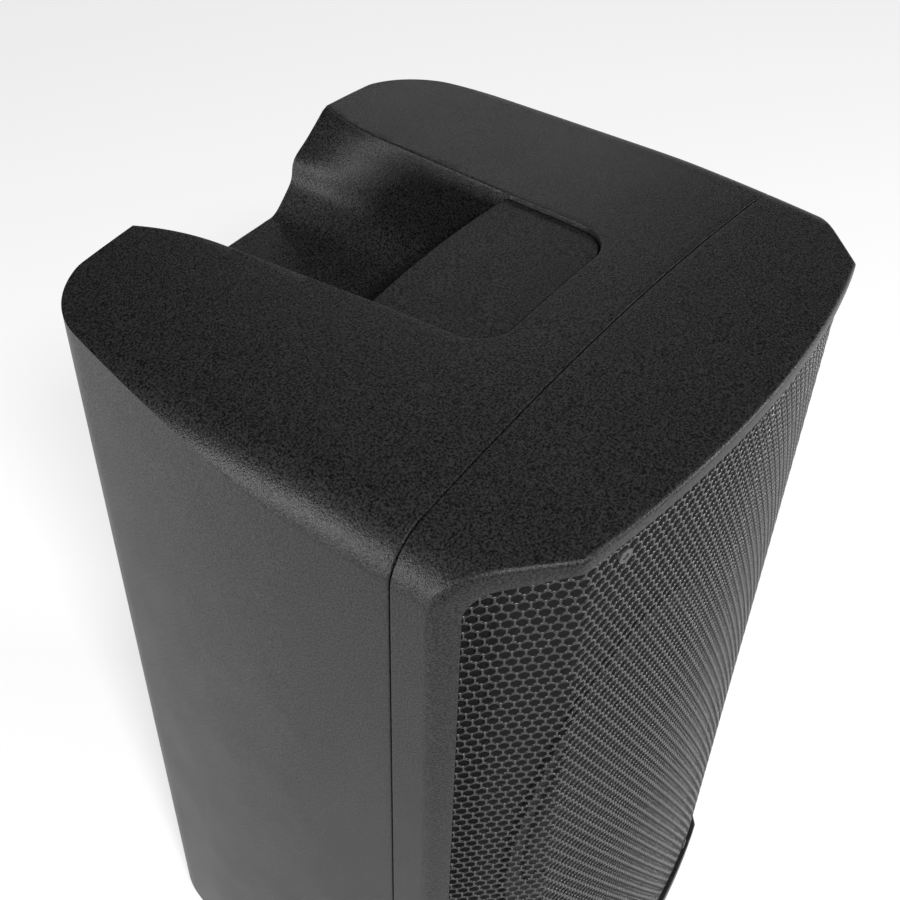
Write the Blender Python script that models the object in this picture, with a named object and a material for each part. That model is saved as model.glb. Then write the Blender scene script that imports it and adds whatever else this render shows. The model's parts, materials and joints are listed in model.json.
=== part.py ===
"""Portable line array speaker: bass cabinet with its column stowed in a bay at the back.

Lengths are in millimetres and are scaled to metres where a mesh is made.
The front faces -Y, +Z is up, and the origin is on the floor under the middle of the cabinet.
"""
import math

import bpy
import bmesh
from mathutils import Vector

for _ob in list(bpy.data.objects):
    bpy.data.objects.remove(_ob, do_unlink=True)

MM = 0.001
GAP = 0.3                 # gap between pieces that touch

# Cabinet outline, seen from above
HALF_WIDTH = 195.0
BEND_X = 145.4            # where the front turns into its 45 degree corners
BEND_Y = -168.5
FRONT_BOW = 17.9          # how far the middle of the front stands out
REAR_Y = 186.4
SIDE_BOW_Y = -39.4        # behind this the sides curve inward
SIDE_BOW = 0.000669
CORNER_R = 55.0
WALL = 5.0

# Cabinet height
FOOT_H = 14.0
EDGE_Z = 656.4            # height of the front edge at the bends
CROWN_RISE = 13.6
CROWN_Y = -43.0
CROWN_X = 0.000404
FILLET_R = 30.1
FILLET_X = 165.0          # centre of the side fillet

# Seam between the two casings
SEAM_Y = -93.2
SEAM_GAP = 0.8

# Grille and its opening
LIP = 9.5
GRILLE_BACK = 3.2          # the grille's depth behind the bowed front
CORNER_BACK = 3.6          # how much deeper it lies at the corner faces
GRILLE_T = 1.6
OPEN_Z0 = 30.0
CHEEK = 14.4
CHEEK_RUN = 4.5
OPEN_CORNER = 17.0

# Scoop and grip
SCOOP_Y0 = 6.0
LIP_Y = 26.5
PLATE_Y0 = -54.5
PLATE_HALF = 63.0
PLATE_R = 24.0
PLATE_STEP = 3.6
PLATE_FLOOR = 652.0

# Column socket
SOCKET_Y = 50.0
SOCKET_X = 31.0
SOCKET_D = 16.0
SOCKET_TOP = 591.5
SOCKET_BASE = 546.0
TENON_X = 25.0
TENON_Y = 14.0

# Bay for the column
BAY_X = 58.0
BAY_Y = 98.0
BAY_Z0 = 70.0
BAY_Z1 = 578.0

# Column
ARRAY_X = -19.0
ARRAY_HALF = 38.0
ARRAY_Y0 = 101.0
ARRAY_Y1 = 172.0
ARRAY_Z0 = 75.0
ARRAY_Z1 = 570.0
DRIVER_COUNT = 6
DRIVER_PITCH = 66.0
DRIVER_Z = 184.0
SPACER_X = 39.0

# Rear panels
PANEL_X0, PANEL_X1 = 66.0, 118.0
PANEL_Z0, PANEL_Z1 = 110.0, 480.0
PANEL_FACE = 174.0
PANEL_T = 3.0
CONTROL_X = 92.0

# Bass driver
WOOFER_Z = 300.0
WOOFER_R = 131.0
BAFFLE_Y = -132.0
BAFFLE_T = 15.0
PORT_X = 88.0
PORT_Z = 105.0

MATERIALS = {
    "casing": ((0.018, 0.018, 0.019), 0.45, 0.0),
    "grip": ((0.02, 0.02, 0.021), 0.5, 0.0),
    "grille": ((0.06, 0.06, 0.062), 0.4, 1.0),
    "board": ((0.03, 0.03, 0.03), 0.8, 0.0),
    "steel": ((0.35, 0.35, 0.36), 0.35, 1.0),
    "cone": ((0.03, 0.03, 0.032), 0.75, 0.0),
    "rubber": ((0.012, 0.012, 0.012), 0.85, 0.0),
    "copper": ((0.75, 0.36, 0.18), 0.35, 1.0),
    "panel": ((0.04, 0.04, 0.042), 0.5, 0.8),
    "knob": ((0.025, 0.025, 0.026), 0.5, 0.0),
    "glass": ((0.01, 0.012, 0.015), 0.1, 0.0),
    "circuit": ((0.02, 0.12, 0.05), 0.5, 0.0),
    "alloy": ((0.55, 0.55, 0.56), 0.4, 1.0),
}


def material(name):
    """Return the named Principled material, making it once."""
    if name in bpy.data.materials:
        return bpy.data.materials[name]
    colour, rough, metal = MATERIALS[name]
    mat = bpy.data.materials.new(name)
    mat.use_nodes = True
    shader = mat.node_tree.nodes["Principled BSDF"]
    shader.inputs["Base Color"].default_value = (*colour, 1.0)
    shader.inputs["Roughness"].default_value = rough
    shader.inputs["Metallic"].default_value = metal
    return mat


def make(name, verts, faces, mat=None, origin=(0, 0, 0), parent=None):
    """Make an object from points in mm, with its origin at the given point."""
    mesh = bpy.data.meshes.new(name)
    shift = Vector(origin)
    mesh.from_pydata([(Vector(v) - shift) * MM for v in verts], [], faces)
    bm = bmesh.new()
    bm.from_mesh(mesh)
    bmesh.ops.recalc_face_normals(bm, faces=bm.faces)
    bm.to_mesh(mesh)
    bm.free()
    obj = bpy.data.objects.new(name, mesh)
    bpy.context.scene.collection.objects.link(obj)
    obj.location = shift * MM
    if mat:
        mesh.materials.append(material(mat))
    if parent:
        obj.parent = parent
        obj.location = shift * MM - parent.location
    return obj


def empty(name, at):
    """An empty that marks a joint's axis."""
    obj = bpy.data.objects.new(name, None)
    bpy.context.scene.collection.objects.link(obj)
    obj.location = Vector(at) * MM
    return obj


def loft(name, rings, mat=None, **kw):
    """Join closed rings of equal count, and cap both ends."""
    count = len(rings[0])
    verts = [p for ring in rings for p in ring]
    faces = [tuple(range(count))[::-1]]
    for k in range(len(rings) - 1):
        a, b = k * count, (k + 1) * count
        for i in range(count):
            j = (i + 1) % count
            faces.append((a + i, a + j, b + j, b + i))
    last = (len(rings) - 1) * count
    faces.append(tuple(range(last, last + count)))
    return make(name, verts, faces, mat, **kw)


def prism(name, outline, z0, z1, mat=None, **kw):
    """Extrude an XY outline from z0 to z1."""
    return loft(name, [[(x, y, z) for x, y in outline] for z in (z0, z1)], mat, **kw)


def block(name, x0, x1, y0, y1, z0, z1, mat=None, **kw):
    """A box between two corners."""
    return prism(name, [(x0, y0), (x1, y0), (x1, y1), (x0, y1)], z0, z1, mat, **kw)


def turned(name, profile, centre, axis, segs, mat=None, **kw):
    """Turn a closed (radius, along) profile about an axis through centre."""
    unit = Vector(axis).normalized()
    side = unit.orthogonal().normalized()
    other = unit.cross(side)
    base = Vector(centre)
    verts, index = [], []
    for r, h in profile:
        if r < 1e-6:
            index.append([len(verts)] * segs)
            verts.append(base + unit * h)
        else:
            index.append(list(range(len(verts), len(verts) + segs)))
            for i in range(segs):
                t = 2 * math.pi * i / segs
                verts.append(base + unit * h + (side * math.cos(t) + other * math.sin(t)) * r)
    faces = []
    for k in range(len(profile)):
        a, b = index[k], index[(k + 1) % len(profile)]
        for i in range(segs):
            j = (i + 1) % segs
            face = []
            for v in (a[i], a[j], b[j], b[i]):
                if v not in face:
                    face.append(v)
            if len(face) > 2:
                faces.append(face)
    return make(name, verts, faces, mat, **kw)


def rod(name, r, h0, h1, centre, axis, segs=24, mat=None, **kw):
    """A solid round bar."""
    return turned(name, [(0, h0), (r, h0), (r, h1), (0, h1)], centre, axis, segs, mat, **kw)


def cut(obj, cutter, op="DIFFERENCE"):
    """Apply a Boolean with another object, then remove that object."""
    cutter.hide_render = True
    cutter.display_type = "WIRE"
    mod = obj.modifiers.new("cut", "BOOLEAN")
    mod.operation = op
    mod.solver = "EXACT"
    mod.object = cutter
    bpy.context.view_layer.update()
    graph = bpy.context.evaluated_depsgraph_get()
    mesh = bpy.data.meshes.new_from_object(obj.evaluated_get(graph))
    old = obj.data
    obj.modifiers.clear()
    obj.data = mesh
    bpy.data.meshes.remove(old)
    bpy.data.objects.remove(cutter, do_unlink=True)
    return obj


def tidy(obj):
    """Weld stray points, dissolve flat faces' inner edges and set the shading."""
    bm = bmesh.new()
    bm.from_mesh(obj.data)
    bmesh.ops.remove_doubles(bm, verts=bm.verts, dist=0.00002)
    bmesh.ops.dissolve_degenerate(bm, edges=bm.edges, dist=0.00001)
    bmesh.ops.dissolve_limit(bm, angle_limit=math.radians(0.05), verts=bm.verts, edges=bm.edges)
    bmesh.ops.triangulate(bm, faces=[f for f in bm.faces if len(f.verts) > 4])
    bm.to_mesh(obj.data)
    bm.free()
    obj.data.shade_smooth()
    obj.data.set_sharp_from_angle(angle=math.radians(35))
    return obj


# ---------------------------------------------------------------- cabinet shape

def front_y(x):
    """Front edge of the plan: a shallow bow, then a 45 degree corner."""
    x = abs(x)
    if x <= BEND_X:
        return BEND_Y - FRONT_BOW * (1 - (x / BEND_X) ** 2)
    return BEND_Y + (x - BEND_X)


def side_x(y):
    """Half width of the cabinet at y, before the rear corner."""
    return HALF_WIDTH - SIDE_BOW * max(0.0, y - SIDE_BOW_Y) ** 2


def corner_centre():
    """Centre of the rear corner's arc, and the angle where it meets the side."""
    cy = REAR_Y - CORNER_R
    ang = 0.2
    for _ in range(20):
        y = cy + CORNER_R * math.sin(ang)
        ang = math.atan(2 * SIDE_BOW * (y - SIDE_BOW_Y))
    return side_x(y) - CORNER_R * math.cos(ang), cy, ang


def plan(front=10, side=6, corner=8):
    """Cabinet outline from above, counter-clockwise from the left bend."""
    c, edge_y = CHEEK_RUN, BEND_Y + HALF_WIDTH - BEND_X
    right = []
    for k in range(5):
        t = k / 4.0
        right.append((HALF_WIDTH - c * math.sqrt(0.5) * (1 - t) ** 2,
                      edge_y - c * math.sqrt(0.5) * (1 - t) ** 2 + c * t * t))
    cx, cy, ang = corner_centre()
    y_end = cy + CORNER_R * math.sin(ang)
    for i in range(side):
        y = SIDE_BOW_Y + (y_end - SIDE_BOW_Y) * i / side
        right.append((side_x(y), y))
    for i in range(corner + 1):
        t = ang + (math.pi / 2 - ang) * i / corner
        right.append((cx + CORNER_R * math.cos(t), cy + CORNER_R * math.sin(t)))
    nose = []
    for i in range(front + 1):
        x = -BEND_X + 2 * BEND_X * i / front
        nose.append((x, front_y(x)))
    return nose + right + [(-x, y) for x, y in reversed(right)]


def inset(outline, d):
    """Move every side of a convex outline inward by d."""
    out = []
    n = len(outline)
    for i in range(n):
        p0, p1, p2 = (Vector(outline[(i + k - 1) % n]) for k in range(3))
        e1, e2 = (p1 - p0).normalized(), (p2 - p1).normalized()
        n1, n2 = Vector((-e1.y, e1.x)), Vector((-e2.y, e2.x))
        bis = (n1 + n2) / (1 + n1.dot(n2))
        out.append(tuple(p1 + bis * d))
    return out


def crown(y):
    """Height of the top along the middle."""
    t = y - CROWN_Y
    if t < 0:
        return EDGE_Z + CROWN_RISE - 0.00028 * t * t
    return EDGE_Z + CROWN_RISE - 0.055 * (math.hypot(t, 20.0) - 20.0)


def tangent_x():
    """Where the crown runs into the side fillet without a kink."""
    return FILLET_X + FILLET_R * math.sin(math.atan(2 * CROWN_X * 169.0))


def top_z(x, y):
    """Height of the cabinet's top."""
    x = abs(x)
    xt = tangent_x()
    if x <= xt:
        return crown(y) - CROWN_X * x * x
    zc = crown(y) - CROWN_X * xt * xt - math.sqrt(FILLET_R ** 2 - (xt - FILLET_X) ** 2)
    dx = min(x - FILLET_X, FILLET_R)
    return zc + math.sqrt(FILLET_R ** 2 - dx * dx)


def top_xs():
    """Sample positions across the top, closer together on the fillet."""
    half = [0.0, 48.0, 96.0, 140.0, tangent_x()]
    a0 = math.asin((tangent_x() - FILLET_X) / FILLET_R)
    half += [FILLET_X + FILLET_R * math.sin(a0 + (math.pi / 2 - a0) * k / 6) for k in range(1, 7)]
    return [-x for x in reversed(half[1:])] + half


TOP_YS = (-195.0, -160.0, -125.0, -93.2, -66.0, -43.0, -25.0, -5.0, 20.0, 60.0, 120.0, 195.0)


def above_top():
    """A block whose underside is the cabinet's top."""
    xs = top_xs()
    rings = []
    for y in TOP_YS:
        low = [(x, y, top_z(x, y)) for x in xs]
        rim = [(205.0, y, low[-1][2]), (205.0, y, 720.0), (-205.0, y, 720.0), (-205.0, y, low[0][2])]
        rings.append(low + rim)
    return loft("above", rings)


def cabinet_body(name, mat):
    """The whole cabinet as one solid, before it's split and hollowed."""
    full = plan()
    base = inset(full, 6.0)
    rings = [[(x, y, FOOT_H) for x, y in base], [(x, y, FOOT_H + 2) for x, y in inset(full, 2.0)],
             [(x, y, FOOT_H + 7) for x, y in full], [(x, y, 715.0) for x, y in full]]
    return cut(loft(name, rings, mat), above_top())


# ---------------------------------------------------------------- scoop

def scoop_half(y):
    """Half width of the scoop's mouth."""
    base = 63.0 + 0.068 * (y + 10.0)
    flare = max(0.0, (y - 125.0) / 61.4)
    return base + 11.5 * flare ** 2.2


def scoop_floor(y):
    """Height of the scoop's floor, lower toward the front."""
    return EDGE_Z - 75.5 + 0.092 * (y - SCOOP_Y0)


SCOOP_FRONT = ((0.0, 0.0), (0.42, 0.0), (0.60, 0.025), (0.75, 0.11), (0.86, 0.26), (0.93, 0.50),
               (0.975, 0.78))
SCOOP_REAR = ((0.0, 0.0), (0.24, 0.0), (0.36, 0.02), (0.49, 0.19), (0.565, 0.33), (0.61, 0.56),
              (0.78, 0.74))


def scoop_ring(y, grow, scale=1.0):
    """Section of the scoop at y, open to well above the top."""
    w, z0 = scoop_half(y) * scale, scoop_floor(y)
    z1 = top_z(w, min(y, REAR_Y))
    mix = min(1.0, max(0.0, (y - 100.0) / 86.0)) ** 1.6
    right = []
    for (fa, ha), (fb, hb) in zip(SCOOP_FRONT, SCOOP_REAR):
        right.append(((fa + (fb - fa) * mix) * w, z0 + (ha + (hb - ha) * mix) * (z1 - z0)))
    right.append((w, z1))
    grown = []
    for i, (x, z) in enumerate(right):
        p0 = Vector(right[i - 1]) if i else Vector((-1.0, z))
        p2 = Vector(right[i + 1]) if i + 1 < len(right) else Vector((x + 0.02, z + 1.0))
        t1, t2 = (Vector((x, z)) - p0).normalized(), (p2 - Vector((x, z))).normalized()
        n1, n2 = Vector((t1.y, -t1.x)), Vector((t2.y, -t2.x))
        out = (n1 + n2) / (1 + n1.dot(n2)) * grow
        grown.append((0.0 if i == 0 else x + out.x, z + out.y))
    top = 712.0 if not grow else z1 + 2
    grown.append((grown[-1][0] + 0.2, top))
    ring = [(-x, y, z) for x, z in reversed(grown)] + [(x, y, z) for x, z in grown[1:]]
    return ring


def scoop_solid(name, grow):
    """The scoop as a cutter; grown by the wall it keeps."""
    ys = (SCOOP_Y0 - grow, SCOOP_Y0 + 5, SCOOP_Y0 + 16, 45.0, 75.0, 100.0, 120.0, 138.0, 153.0, 166.0,
          177.0, REAR_Y, 200.0)
    scales = (0.86, 0.955, 1.0)
    rings = []
    for i, y in enumerate(ys):
        rings.append(scoop_ring(y, grow, scales[i] if i < 3 else 1.0))
    return loft(name, rings)


def plate_outline(half, y0, y1, r, bow, steps=6):
    """Outline of the grip plate: round front corners and a bowed rear edge."""
    pts = []
    for i in range(steps + 1):
        t = math.pi / 2 * i / steps
        pts.append((half - r + r * math.sin(t), y0 + r - r * math.cos(t)))
    rear_half = half + 0.03 * (y1 - y0)
    for i in range(7):
        x = rear_half * (1 - i / 3.0)
        pts.append((x, y1 + bow * (1 - (x / rear_half) ** 2)))
    for i in range(steps + 1):
        t = math.pi / 2 * (1 - i / steps)
        pts.append((-(half - r + r * math.sin(t)), y0 + r - r * math.cos(t)))
    return pts


# ---------------------------------------------------------------- casings

def rear_shell():
    """The casing behind the seam, hollow, with scoop, bay and panel pockets."""
    shell = cabinet_body("rear_shell", "casing")
    cut(shell, block("front_off", -210, 210, -210, SEAM_Y + SEAM_GAP / 2, 0, 730))
    hollow = prism("hollow", inset(plan(), WALL), FOOT_H + WALL + 1, 700)
    rings = []
    for y in (SEAM_Y - 20.0, CROWN_Y, REAR_Y + 4):
        half = [(0.0, crown(y) - WALL), (110.0, top_z(110, y) - WALL), (160.0, top_z(160, y) - WALL),
                (178.0, top_z(178, y) - WALL - 1), (186.0, top_z(186, y) - WALL - 4),
                (191.0, top_z(191, y) - WALL - 9)]
        ring = [(-x, y, z) for x, z in reversed(half[1:])] + [(x, y, z) for x, z in half]
        rings.append(ring + [(191.0, y, 10.0), (-191.0, y, 10.0)])
    cut(hollow, loft("hollow_top", rings), "INTERSECT")
    cut(hollow, scoop_solid("scoop_wall", 4.0))
    bay_top = scoop_floor(BAY_Y) - 2.0
    cut(hollow, block("bay_wall", -BAY_X - 4, BAY_X + 4, BAY_Y - 4, 200, BAY_Z0 - 4, bay_top))
    for s in (-1, 1):
        xa, xb = sorted((s * (BAY_X + 2), s * (PANEL_X1 + 4)))
        cut(hollow, block("panel_wall", xa, xb, 155.0, 200, PANEL_Z0 - 4, PANEL_Z1 + 4))
        xa, xb = sorted((s * (BAY_X + 2), s * 92.0))
        cut(hollow, block("notch_wall", xa, xb, 140.0, 200, 496, 566))
    cut(hollow, prism("pocket_floor", plate_outline(PLATE_HALF + 4, PLATE_Y0 - 4, 20, PLATE_R + 4, 0),
                      PLATE_FLOOR - 4, 700))
    cut(shell, hollow)
    cut(shell, scoop_solid("scoop", 0.0))
    cut(shell, prism("pocket", plate_outline(PLATE_HALF, PLATE_Y0, LIP_Y - 1.0, PLATE_R, 2.0),
                     PLATE_FLOOR, 720))
    cut(shell, block("bay", -BAY_X, BAY_X, BAY_Y, 200, BAY_Z0, BAY_Z1))
    for s in (-1, 1):
        xa, xb = sorted((s * PANEL_X0, s * PANEL_X1))
        cut(shell, block("panel_pocket", xa, xb, PANEL_FACE - PANEL_T - GAP, 200, PANEL_Z0, PANEL_Z1))
        cut(shell, block("panel_hole", xa + 4, xb - 4, 150, 200, PANEL_Z0 + 4, PANEL_Z1 - 4))
        xa, xb = sorted((s * (BAY_X - 1), s * 86.0))
        cut(shell, block("notch", xa, xb, 146, 200, 502, 560))
    cut(shell, block("socket_hole", -SOCKET_X - GAP, SOCKET_X + GAP, SOCKET_Y - SOCKET_D - GAP,
                     SOCKET_Y + SOCKET_D + GAP, 540, 600))
    return tidy(shell)


def front_line(d):
    """The front's bow between the bends, moved back square to itself by d."""
    far = BEND_Y + 300.0 - BEND_X
    nose = plan()[:11]
    outline = nose + [(300.0, far), (300.0, 500.0), (-300.0, 500.0), (-300.0, far)]
    line = inset(outline, d)[:11]
    if d > 0:
        (xa, ya), (xb, yb) = line[9], line[10]
        slope = (yb - ya) / (xb - xa)
        reach = BEND_Y - BEND_X + (d + CORNER_BACK) * math.sqrt(2)
        x = (ya - slope * xa - reach) / (1 - slope)
        line[10] = (x, x + reach)
        line[0] = (-x, x + reach)
    return line


def facet_point(u, d, side):
    """A point at u along a corner face from its bend, moved back square to it by d."""
    c = math.sqrt(0.5)
    if d > 0:
        d += CORNER_BACK
    return side * (BEND_X + (u - d) * c), BEND_Y + (u + d) * c


def opening_drop(u):
    """How far the opening's edge falls along a corner face."""
    over = max(0.0, (u - (OPEN_U - 16.0)) / 16.0)
    return 0.16 * u + OPEN_CORNER * (1 - math.sqrt(max(0.0, 1 - over * over)))


FACET_LENGTH = (HALF_WIDTH - BEND_X) * math.sqrt(2)
OPEN_U = FACET_LENGTH - CHEEK
FACET_US = (8.0, 26.0, OPEN_U - 16.0, OPEN_U - 9.0, OPEN_U - 4.5, OPEN_U - 1.6, OPEN_U)


def front_slab(name, d0, d1, grow, mat=None, stretch=0.0):
    """A solid that fills the grille opening's shape between two depths."""
    rings = []
    line0, line1 = front_line(d0), front_line(d1)
    edge = top_z(BEND_X, BEND_Y) - LIP

    def ring(p, q, z0, z1):
        return [(*p, z0), (*q, z0), (*q, z1), (*p, z1)]

    for side in (-1, 1):
        wing = []
        for u in FACET_US:
            drop = opening_drop(u)
            v = u + stretch * u / OPEN_U
            wing.append(ring(facet_point(v, d0, side), facet_point(v, d1, side),
                             OPEN_Z0 - grow + drop, edge + grow - drop))
        if side < 0:
            rings += wing[::-1]
            for p, q in zip(line0, line1):
                z1 = top_z(p[0], front_y(p[0])) - LIP if abs(p[0]) < BEND_X else edge
                rings.append(ring(p, q, OPEN_Z0 - grow, z1 + grow))
        else:
            rings += wing
    return loft(name, rings, mat)


def under_top(obj, y0, y1):
    """Keep what lies a wall's thickness below the cabinet's top."""
    rings = []
    for y in (y0, 0.5 * (y0 + y1), y1):
        half = [(0.0, crown(y) - WALL), (110.0, top_z(110, y) - WALL), (160.0, top_z(160, y) - WALL),
                (178.0, top_z(178, y) - WALL - 1), (186.0, top_z(186, y) - WALL - 4),
                (191.0, top_z(191, y) - WALL - 9)]
        ring = [(-x, y, z) for x, z in reversed(half[1:])] + [(x, y, z) for x, z in half]
        rings.append(ring + [(191.0, y, 10.0), (-191.0, y, 10.0)])
    return cut(obj, loft("below", rings), "INTERSECT")


SCREWS = [(s * 113.0, z) for z in (635.0, 45.0) for s in (-1, 1)]


def screw_y(x):
    """Front face of the grille at x."""
    return front_y(x) + GRILLE_BACK + 0.6


def screw_axis(x):
    """Direction square to the grille at x, pointing out."""
    return Vector((2 * FRONT_BOW * x / BEND_X ** 2, -1.0, 0.0)).normalized()


def front_bezel():
    """The casing in front of the seam, with a lip around the opening for the grille."""
    bezel = cabinet_body("front_bezel", "casing")
    cut(bezel, block("rear_off", -210, 210, SEAM_Y - SEAM_GAP / 2, 210, 0, 730))
    front = front_line(GRILLE_BACK)
    end = facet_point((HALF_WIDTH - WALL - BEND_X) * math.sqrt(2) + GRILLE_BACK + CORNER_BACK,
                      GRILLE_BACK, 1)
    outline = front + [end, (HALF_WIDTH - WALL, -80.0), (WALL - HALF_WIDTH, -80.0), (-end[0], end[1])]
    hollow = under_top(prism("hollow", outline, FOOT_H + WALL + 1, 700), -190.0, SEAM_Y + 20)
    for x, z in SCREWS:
        z0, z1 = (z - 8, 700) if z > 300 else (10, z + 8)
        cut(hollow, block("boss", x - 7, x + 7, screw_y(x) + GRILLE_T + 2.6, BAFFLE_Y - GAP, z0, z1))
    cut(bezel, hollow)
    cut(bezel, front_slab("opening", -40.0, GRILLE_BACK + 0.5, 0.0))
    for x, z in SCREWS:
        cut(bezel, rod("pilot", 2.1, -14, 2, (x, screw_y(x), z), screw_axis(x), 12))
    return tidy(bezel)


def grille_panel():
    """The bent sheet behind the lip, held by four screws."""
    sheet = front_slab("grille_panel", GRILLE_BACK + 0.4, GRILLE_BACK + 0.4 + GRILLE_T, 2.6, "grille", 3.4)
    for x, z in SCREWS:
        cut(sheet, rod("screw_hole", 2.1, -8, 8, (x, screw_y(x), z), screw_axis(x), 12))
    tidy(sheet)
    for i, (x, z) in enumerate(SCREWS):
        y = screw_y(x)
        turned("grille_screw_%d" % (i + 1),
               [(0, 2.9), (2.6, 2.7), (4.2, 1.6), (4.4, 0.7), (1.7, 0.7), (1.7, -10), (0, -11)],
               (x, y, z), screw_axis(x), 16, "steel")


def handle_plate():
    """The grip insert in front of the scoop."""
    outline = plate_outline(PLATE_HALF - GAP, PLATE_Y0 + GAP, LIP_Y - 2.0, PLATE_R - GAP, 2.0)
    plate = prism("handle_plate", outline, PLATE_FLOOR + GAP, 700, "grip")
    rings = []
    for y in (-70.0, -43.0, -20.0, 5.0, 40.0):
        low = [(x, y, top_z(x, y) - PLATE_STEP) for x in (-70.0, -48.0, -24.0, 0.0, 24.0, 48.0, 70.0)]
        rings.append(low + [(70.0, y, 720.0), (-70.0, y, 720.0)])
    cut(plate, loft("plate_top", rings))
    return tidy(plate)


# ---------------------------------------------------------------- inside

def baffle():
    """The board across the bezel that carries the driver and the vents."""
    run = (GRILLE_BACK + CORNER_BACK + 0.4 + GRILLE_T) * math.sqrt(2)
    x0 = BEND_X + (BAFFLE_Y - BEND_Y) - run - 0.4
    x1 = x0 + BAFFLE_T
    outline = [(-x0, BAFFLE_Y), (x0, BAFFLE_Y), (x1, BAFFLE_Y + BAFFLE_T), (-x1, BAFFLE_Y + BAFFLE_T)]
    board = prism("baffle_board", outline, FOOT_H + WALL + 1.3, 636.0, "board")
    cut(board, rod("hole", 118.0, -20, 20, (0, BAFFLE_Y + 7, WOOFER_Z), (0, 1, 0), 40))
    for i, s in enumerate((-1, 1)):
        cut(board, rod("hole", 38.3, -20, 20, (s * PORT_X, BAFFLE_Y + 7, PORT_Z), (0, 1, 0), 24))
        turned("port_tube_%d" % (i + 1), [(34, -0.3), (34, 112), (38, 112), (38, -0.3), (46, -0.3),
                                          (46, -3.5), (40, -4.5), (36, -3)],
               (s * PORT_X, BAFFLE_Y, PORT_Z), (0, 1, 0), 24, "board")
    return tidy(board)


def woofer():
    """The bass driver; its cone, cap and coil slide along the driver's axis."""
    at, ax = (0, 0, WOOFER_Z), (0, 1, 0)
    frame = turned("woofer_frame",
                   [(112.2, -136), (WOOFER_R, -136), (WOOFER_R, -132.3), (117, -132.3), (112, -108),
                    (66, -56), (66, -50), (30, -50), (30, -54), (62, -54), (108, -110), (112.2, -130)],
                   at, ax, 40, "steel")
    for k in range(3):
        t = math.pi * k / 3 + 0.3
        c, s = math.cos(t), math.sin(t)
        bar = []
        for y in (-103.0, -64.0):
            bar.append([(u * c - v * s, y, WOOFER_Z + u * s + v * c)
                        for u, v in ((-130, -20), (130, -20), (130, 20), (-130, 20))])
        cut(frame, loft("window", bar))
    tidy(frame)
    turned("woofer_magnet", [(0, -50.3), (22, -50.3), (22, -20), (28, -20), (28, -49.7), (70, -49.7),
                             (70, -10), (0, -10)], at, ax, 32, "alloy")
    turned("woofer_surround", [(101.8, -133), (102.8, -138.5), (106.8, -141), (110.6, -138.5),
                               (111.8, -133), (110.4, -133), (109.4, -137.4), (106.8, -139.4),
                               (104.2, -137.4), (103.2, -133)], at, ax, 40, "rubber")
    turned("woofer_spider", [(26.4, -74), (38, -75.5), (50, -74), (62, -75.5), (74, -74), (74, -73),
                             (62, -74.5), (50, -73), (38, -74.5), (26.4, -73)], at, ax, 32, "board")
    axis = empty("cone_axis", (0, -100.0, WOOFER_Z))
    turned("woofer_cone", [(101.2, -135), (60, -113), (26, -88), (26, -86), (60, -110.5), (101.2, -132.5)],
           at, ax, 40, "cone", origin=(0, -100.0, WOOFER_Z), parent=axis)
    turned("dust_cap", [(0, -106), (12, -104.5), (22, -99), (28, -90.6), (26.8, -90.2), (21, -97.5),
                        (11.5, -102.8), (0, -104.3)],
           at, ax, 32, "cone", origin=(0, -100.0, WOOFER_Z), parent=axis)
    turned("voice_coil", [(24, -86), (25.5, -86), (25.5, -34), (24, -34)],
           at, ax, 32, "copper", origin=(0, -100.0, WOOFER_Z), parent=axis)


def circuit(name, x0, x1, out, z0, z1, parts):
    """A circuit board upright against the bay's wall, with its tall components."""
    board = block(name, x0, x1, 97.0, 150.0, z0, z1, "circuit")
    face = x1 if out > 0 else x0
    for y, z, w, h, tall in parts:
        xa, xb = sorted((face - out * 1.0, face + out * tall))
        cut(board, block("component", xa, xb, y - w / 2, y + w / 2, z - h / 2, z + h / 2), "UNION")
    return tidy(board)


def socket():
    """The column's socket, let into the scoop's floor, with its contacts."""
    x, y = SOCKET_X, SOCKET_D
    cup = block("socket_cup", -x, x, SOCKET_Y - y, SOCKET_Y + y, SOCKET_BASE, SOCKET_TOP, "board")
    cut(cup, block("bore", -TENON_X, TENON_X, SOCKET_Y - TENON_Y, SOCKET_Y + TENON_Y,
                   SOCKET_BASE + 6, 620))
    rings = []
    for dx, dy, z in ((TENON_X, TENON_Y, SOCKET_TOP - 2), (TENON_X + 3, TENON_Y + 1.5, SOCKET_TOP + 1)):
        rings.append([(i * dx, SOCKET_Y + j * dy, z) for i, j in ((-1, -1), (1, -1), (1, 1), (-1, 1))])
    lead = loft("lead", rings)
    cut(cup, lead)
    tidy(cup)
    contacts = block("socket_contacts", -14, 14, SOCKET_Y - 6, SOCKET_Y + 6, SOCKET_BASE + 6.3,
                     SOCKET_BASE + 14, "copper")
    for k in range(4):
        cut(contacts, block("slot", -10.5 + 6 * k, -7.5 + 6 * k, SOCKET_Y - 4, SOCKET_Y + 4,
                            SOCKET_BASE + 9, 620))
    tidy(contacts)


# ---------------------------------------------------------------- column

def array_section(half, y0, y1, r=7.0, bulge=0.0):
    """Outline of the column, with round rear corners."""
    pts = [(half, y1)]
    if bulge:
        pts = [(half * (1 - k / 3.0), y1 + bulge * (1 - (1 - k / 3.0) ** 2)) for k in range(7)]
    else:
        pts.append((-half, y1))
    pts.append((-half, y0 + r))
    for k in range(1, 4):
        t = math.pi / 2 * k / 3
        pts.append((-half + r - r * math.cos(t), y0 + r - r * math.sin(t)))
    for k in range(3):
        t = math.pi / 2 * (1 - k / 3)
        pts.append((half - r + r * math.cos(t), y0 + r - r * math.sin(t)))
    pts.append((half, y0 + r))
    return [(ARRAY_X + x, y) for x, y in reversed(pts)]


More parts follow.
